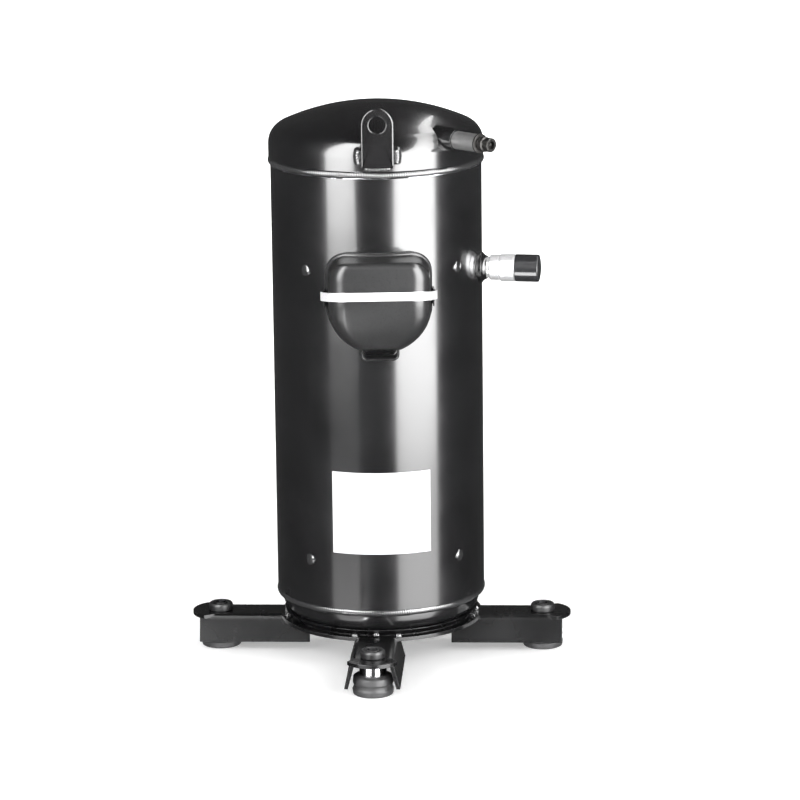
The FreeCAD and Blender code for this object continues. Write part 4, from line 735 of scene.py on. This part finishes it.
def thicken(piece, wall):
    """Gives an open skin a wall on its inner side."""
    tool = piece.modifiers.new("wall", "SOLIDIFY")
    tool.thickness = wall * MM
    tool.offset = -1.0
    tool.use_quality_normals = True
    graph = bpy.context.evaluated_depsgraph_get()
    made = bpy.data.meshes.new_from_object(piece.evaluated_get(graph))
    piece.modifiers.clear()
    piece.data = made


def joined(first, second, sharp):
    """One piece from two."""
    tool = bmesh.new()
    tool.from_mesh(first.data)
    tool.from_mesh(second.data)
    tool.to_mesh(first.data)
    tool.free()
    bpy.data.objects.remove(second)
    first.data.shade_smooth()
    first.data.set_sharp_from_angle(angle=math.radians(sharp))
    return first


def add_turned(name, section, steps, node):
    """The same turned section at each of the four mounts."""
    mount_reach = 134.7
    shapes = Shapes()
    for azimuth in (0, 90, 180, 270):
        angle = math.radians(azimuth)
        place = (mount_reach * math.sin(angle), -mount_reach * math.cos(angle))
        shapes.turned(section, place, steps)
    settle(shapes.add(name, 40.0), "casing", node)


def add_feet():
    """Rubber mounts: a ribbed bell with a waist under the arm, and a domed button above it."""
    bore, fillet_steps = 6.1, 4
    bell = [(bore, 0.3, 0), (bore + 1.6, 0.0, 0.6), (16.2, 0.0, 1.2), (16.8, 4.6, 1.0), (15.7, 6.2, 0.8),
            (15.7, 8.4, 0.8), (16.5, 9.8, 0.9), (16.1, 14.6, 1.4), (13.2, 16.4, 1.2), (bore, 16.4, 0)]
    button = [(bore, 30.1, 0), (10.0, 30.1, 0.6), (10.0, 34.4, 0.7), (9.1, 36.2, 0.9),
              (7.8, 36.4, 0.4), (7.4, 35.8, 0.3), (bore, 35.8, 0)]
    add_turned("foot_bells", curved(bell, fillet_steps), 72, "rubber_feet")
    add_turned("foot_buttons", curved(button, fillet_steps), 64, "mount_caps")


def add_pieces():
    add_seam_welds()
    add_lug_welds()
    add_base_welds()
    add_plug_welds()
    add_lug()
    add_cover()
    add_feet()


# ---------------------------------------------------------------- studio
VIEW_AZIMUTH = math.radians(3.2)
CAMERA_REACH = 3.0
CAMERA_LEVEL = 0.91714
CAMERA_PITCH = 0.2316
CAMERA_YAW = 0.0058
CAMERA_ROLL = -0.0115
CAMERA_LENS = 168.0


def add_camera():
    data = bpy.data.cameras.new("camera")
    data.lens = CAMERA_LENS
    data.sensor_width = 36.0
    data.clip_start, data.clip_end = 0.05, 100.0
    camera = bpy.data.objects.new("camera", data)
    bpy.context.scene.collection.objects.link(camera)
    cos_pitch, sin_pitch = math.cos(CAMERA_PITCH), math.sin(CAMERA_PITCH)
    cos_yaw, sin_yaw = math.cos(CAMERA_YAW), math.sin(CAMERA_YAW)
    ahead = Vector((sin_yaw * cos_pitch, cos_yaw * cos_pitch, -sin_pitch))
    right = Vector((cos_yaw, -sin_yaw, 0.0))
    up = right.cross(ahead)
    cos_roll, sin_roll = math.cos(CAMERA_ROLL), math.sin(CAMERA_ROLL)
    right, up = right * cos_roll + up * sin_roll, up * cos_roll - right * sin_roll
    turn = Matrix.Rotation(VIEW_AZIMUTH, 3, "Z")
    axes = turn @ Matrix((right, up, -ahead)).transposed()
    level = Vector((math.sin(VIEW_AZIMUTH), -math.cos(VIEW_AZIMUTH), 0.0)) * CAMERA_REACH
    place = level + Vector((0.0, 0.0, CAMERA_LEVEL))
    camera.matrix_world = Matrix.Translation(place) @ axes.to_4x4()
    bpy.context.scene.camera = camera


def empty_material(name):
    made = bpy.data.materials.new(name)
    made.use_nodes = True
    made.node_tree.nodes.clear()
    return made, made.node_tree


def map_range(tree, source, *limits):
    """A Map Range node from four limits: from low, from high, to low, to high."""
    made = tree.nodes.new("ShaderNodeMapRange")
    for socket, number in zip(("From Min", "From Max", "To Min", "To Max"), limits):
        made.inputs[socket].default_value = number
    tree.links.new(source, made.inputs["Value"])
    return made.outputs["Result"]


def add_floor():
    """A pale floor that turns up into a pale wall, far from the object."""
    profile = [(0.0, 0.0), (2.0, 0.0), (8.0, 0.0)]
    centre, bend, steps = Vector((8.0, 3.0)), 3.0, 10
    for k in range(1, steps + 1):
        angle = math.radians(90 * k / steps)
        profile.append((centre.x + bend * math.sin(angle), centre.y - bend * math.cos(angle)))
    profile.append((centre.x + bend, 9.0))
    floor = lathe("studio_floor", profile, 96)
    material, tree = empty_material("floor_paper")
    out = tree.nodes.new("ShaderNodeOutputMaterial")
    shader = tree.nodes.new("ShaderNodeBsdfPrincipled")
    shader.inputs["Roughness"].default_value = 0.9
    shader.inputs["Base Color"].default_value = (0.9, 0.9, 0.9, 1.0)
    shader.inputs["Specular IOR Level"].default_value = 0.0
    shader.inputs["Emission Color"].default_value = (1.0, 1.0, 1.0, 1.0)
    where = tree.nodes.new("ShaderNodeNewGeometry")
    length = tree.nodes.new("ShaderNodeVectorMath")
    length.operation = "LENGTH"
    tree.links.new(where.outputs["Position"], length.inputs[0])
    glow = map_range(tree, length.outputs["Value"], 0.3, 2.0, 0.3, 1.0)
    tree.links.new(glow, shader.inputs["Emission Strength"])
    tree.links.new(shader.outputs[0], out.inputs["Surface"])
    floor.data.materials.append(material)
    floor.visible_glossy = False
    floor.visible_shadow = False


def lathe(name, profile, segments):
    """A surface of revolution about Z from (radius, level) points."""
    corners, faces = [], []
    for radius, level in profile:
        for k in range(segments):
            angle = 2 * math.pi * k / segments
            corners.append((radius * math.cos(angle), radius * math.sin(angle), level))
    for row in range(len(profile) - 1):
        for k in range(segments):
            after = (k + 1) % segments
            faces.append((row * segments + k, row * segments + after,
                          (row + 1) * segments + after, (row + 1) * segments + k))
    made = place_mesh(name, corners, faces)
    made.data.shade_smooth()
    return made


def softbox(name, azimuth, reach, half_width, ramp, strength, feather=0.12):
    """A glowing panel that only reflections see. The ramp gives its brightness by level."""
    low, high = ramp[0][0], ramp[-1][0]
    angle = math.radians(azimuth)
    centre = Vector((math.sin(angle), -math.cos(angle), 0.0)) * reach
    side = Vector((math.cos(angle), math.sin(angle), 0.0)) * half_width
    corners = [centre - side + Vector((0, 0, low)), centre + side + Vector((0, 0, low)),
               centre + side + Vector((0, 0, high)), centre - side + Vector((0, 0, high))]
    panel = place_mesh(name, corners, [(0, 1, 2, 3)])
    layer = panel.data.uv_layers.new(name="across")
    for corner, uv in zip(layer.data, ((0, 0), (1, 0), (1, 1), (0, 1))):
        corner.uv = uv
    material, tree = empty_material(name)
    out = tree.nodes.new("ShaderNodeOutputMaterial")
    glow = tree.nodes.new("ShaderNodeEmission")
    uv = tree.nodes.new("ShaderNodeTexCoord")
    split = tree.nodes.new("ShaderNodeSeparateXYZ")
    tree.links.new(uv.outputs["UV"], split.inputs[0])
    ramp_node = tree.nodes.new("ShaderNodeValToRGB")
    elements = ramp_node.color_ramp.elements
    while len(elements) > 1:
        elements.remove(elements[-1])
    for index, (level, value) in enumerate(ramp):
        place = (level - low) / (high - low)
        element = elements[0] if index == 0 else elements.new(place)
        element.position = place
        element.color = (value, value, value, 1.0)
    tree.links.new(split.outputs["Y"], ramp_node.inputs[0])

    def edge(near, far):
        fall = tree.nodes.new("ShaderNodeMapRange")
        fall.interpolation_type = "SMOOTHSTEP"
        fall.inputs["From Min"].default_value = near
        fall.inputs["From Max"].default_value = far
        tree.links.new(split.outputs["X"], fall.inputs["Value"])
        return fall.outputs["Result"]

    def times(first, second):
        product = tree.nodes.new("ShaderNodeMath")
        product.operation = "MULTIPLY"
        tree.links.new(first, product.inputs[0])
        tree.links.new(second, product.inputs[1])
        return product.outputs[0]

    shape = times(edge(0.0, feather), edge(1.0, 1.0 - feather))
    shade = times(shape, ramp_node.outputs[0])
    tree.links.new(map_range(tree, shade, 0.0, 1.0, 0.0, strength), glow.inputs["Strength"])
    tree.links.new(glow.outputs[0], out.inputs["Surface"])
    panel.data.materials.append(material)
    hide_from_all_but_gloss(panel)


def add_arch():
    """A curved glowing strip overhead, from the right-hand panel over to the back, seen by the dome."""
    centre, reach = Vector((0.0, 0.0, 0.44)), 1.6
    left = ((27, 8), (46, 32), (66, 54), (150, 62), (167, 45), (171, 27))
    right = ((69, 8), (69, 22), (84, 45), (130, 56), (165, 40), (171, 25))

    def spot(azimuth, height):
        turn, lift = math.radians(azimuth), math.radians(height)
        level = Vector((math.sin(turn), -math.cos(turn), 0.0)) * math.cos(lift)
        return centre + (level + Vector((0.0, 0.0, math.sin(lift)))) * reach

    corners = [spot(*place) for pair in zip(left, right) for place in pair]
    faces = [(2 * k, 2 * k + 1, 2 * k + 3, 2 * k + 2) for k in range(len(left) - 1)]
    arch = place_mesh("arch", corners, faces)
    material, tree = empty_material("arch")
    out = tree.nodes.new("ShaderNodeOutputMaterial")
    glow = tree.nodes.new("ShaderNodeEmission")
    where = tree.nodes.new("ShaderNodeNewGeometry")
    split = tree.nodes.new("ShaderNodeSeparateXYZ")
    tree.links.new(where.outputs["Position"], split.inputs[0])
    power = map_range(tree, split.outputs["Y"], -0.8, 0.8, 19.0, 7.0)
    tree.links.new(power, glow.inputs["Strength"])
    tree.links.new(glow.outputs[0], out.inputs["Surface"])
    arch.data.materials.append(material)
    hide_from_all_but_gloss(arch)


def hide_from_all_but_gloss(panel):
    panel.visible_camera = False
    panel.visible_diffuse = False
    panel.visible_shadow = False


def add_lamp(name, azimuth, reach, level, size, energy):
    """A square lamp, aimed at the middle of the object, that reflections don't see."""
    aim = 0.2
    data = bpy.data.lights.new(name, "AREA")
    data.shape = "SQUARE"
    data.size = size
    data.energy = energy
    lamp = bpy.data.objects.new(name, data)
    bpy.context.scene.collection.objects.link(lamp)
    angle = math.radians(azimuth)
    lamp.location = (reach * math.sin(angle), -reach * math.cos(angle), level)
    lamp.rotation_euler = (Vector((0, 0, aim)) - lamp.location).to_track_quat("-Z", "Y").to_euler()
    lamp.visible_camera = False
    lamp.visible_glossy = False


def add_world():
    """Dim surroundings, a little lighter in front of the object."""
    world = bpy.data.worlds.new("studio")
    world.use_nodes = True
    tree = world.node_tree
    tree.nodes.clear()
    out = tree.nodes.new("ShaderNodeOutputWorld")
    sky = tree.nodes.new("ShaderNodeBackground")
    where = tree.nodes.new("ShaderNodeTexCoord")
    split = tree.nodes.new("ShaderNodeSeparateXYZ")
    tree.links.new(where.outputs["Generated"], split.inputs[0])
    power = map_range(tree, split.outputs["Y"], -1.0, 0.3, 0.13, 0.07)
    tree.links.new(power, sky.inputs["Strength"])
    tree.links.new(sky.outputs[0], out.inputs["Surface"])
    bpy.context.scene.world = world


def add_studio():
    """Each card's ramp is a list of (level, share of its strength)."""
    right_ramp = [(-0.95, 0.22), (-0.26, 0.36), (-0.14, 0.33), (-0.115, 0.48), (-0.06, 0.76),
                  (0.1, 1.0), (0.75, 1.0)]
    left_ramp = [(-0.95, 0.16), (-0.26, 0.14), (-0.115, 0.03), (-0.06, 0.02), (0.03, 0.05),
                 (0.11, 0.24), (0.19, 0.85), (2.8, 0.9)]
    streak_ramp = [(-2.6, 1.0), (-0.75, 1.0), (-0.6, 0.0)]
    front_ramp = [(0.6, 0.6), (1.9, 1.0)]
    add_floor()
    softbox("softbox_right", 44.6, 1.2, 0.585, right_ramp, 20.0)
    softbox("softbox_left", -35.0, 1.2, 0.375, left_ramp, 20.0)
    softbox("softbox_streak", -13.7, 2.0, 0.14, streak_ramp, 24.0)
    softbox("softbox_front", -6.0, 2.0, 0.45, front_ramp, 1.6, 0.3)
    add_arch()
    add_lamp("lamp_right", 42.0, 1.6, 1.3, 1.2, 12.5)
    add_lamp("lamp_left", -46.0, 1.6, 1.2, 1.0, 8.0)
    add_lamp("lamp_rear", 180.0, 1.8, 1.5, 1.2, 8.0)
    bpy.context.scene.view_settings.view_transform = "Standard"


dress_nodes()
add_pieces()
add_camera()
add_world()
add_studio()
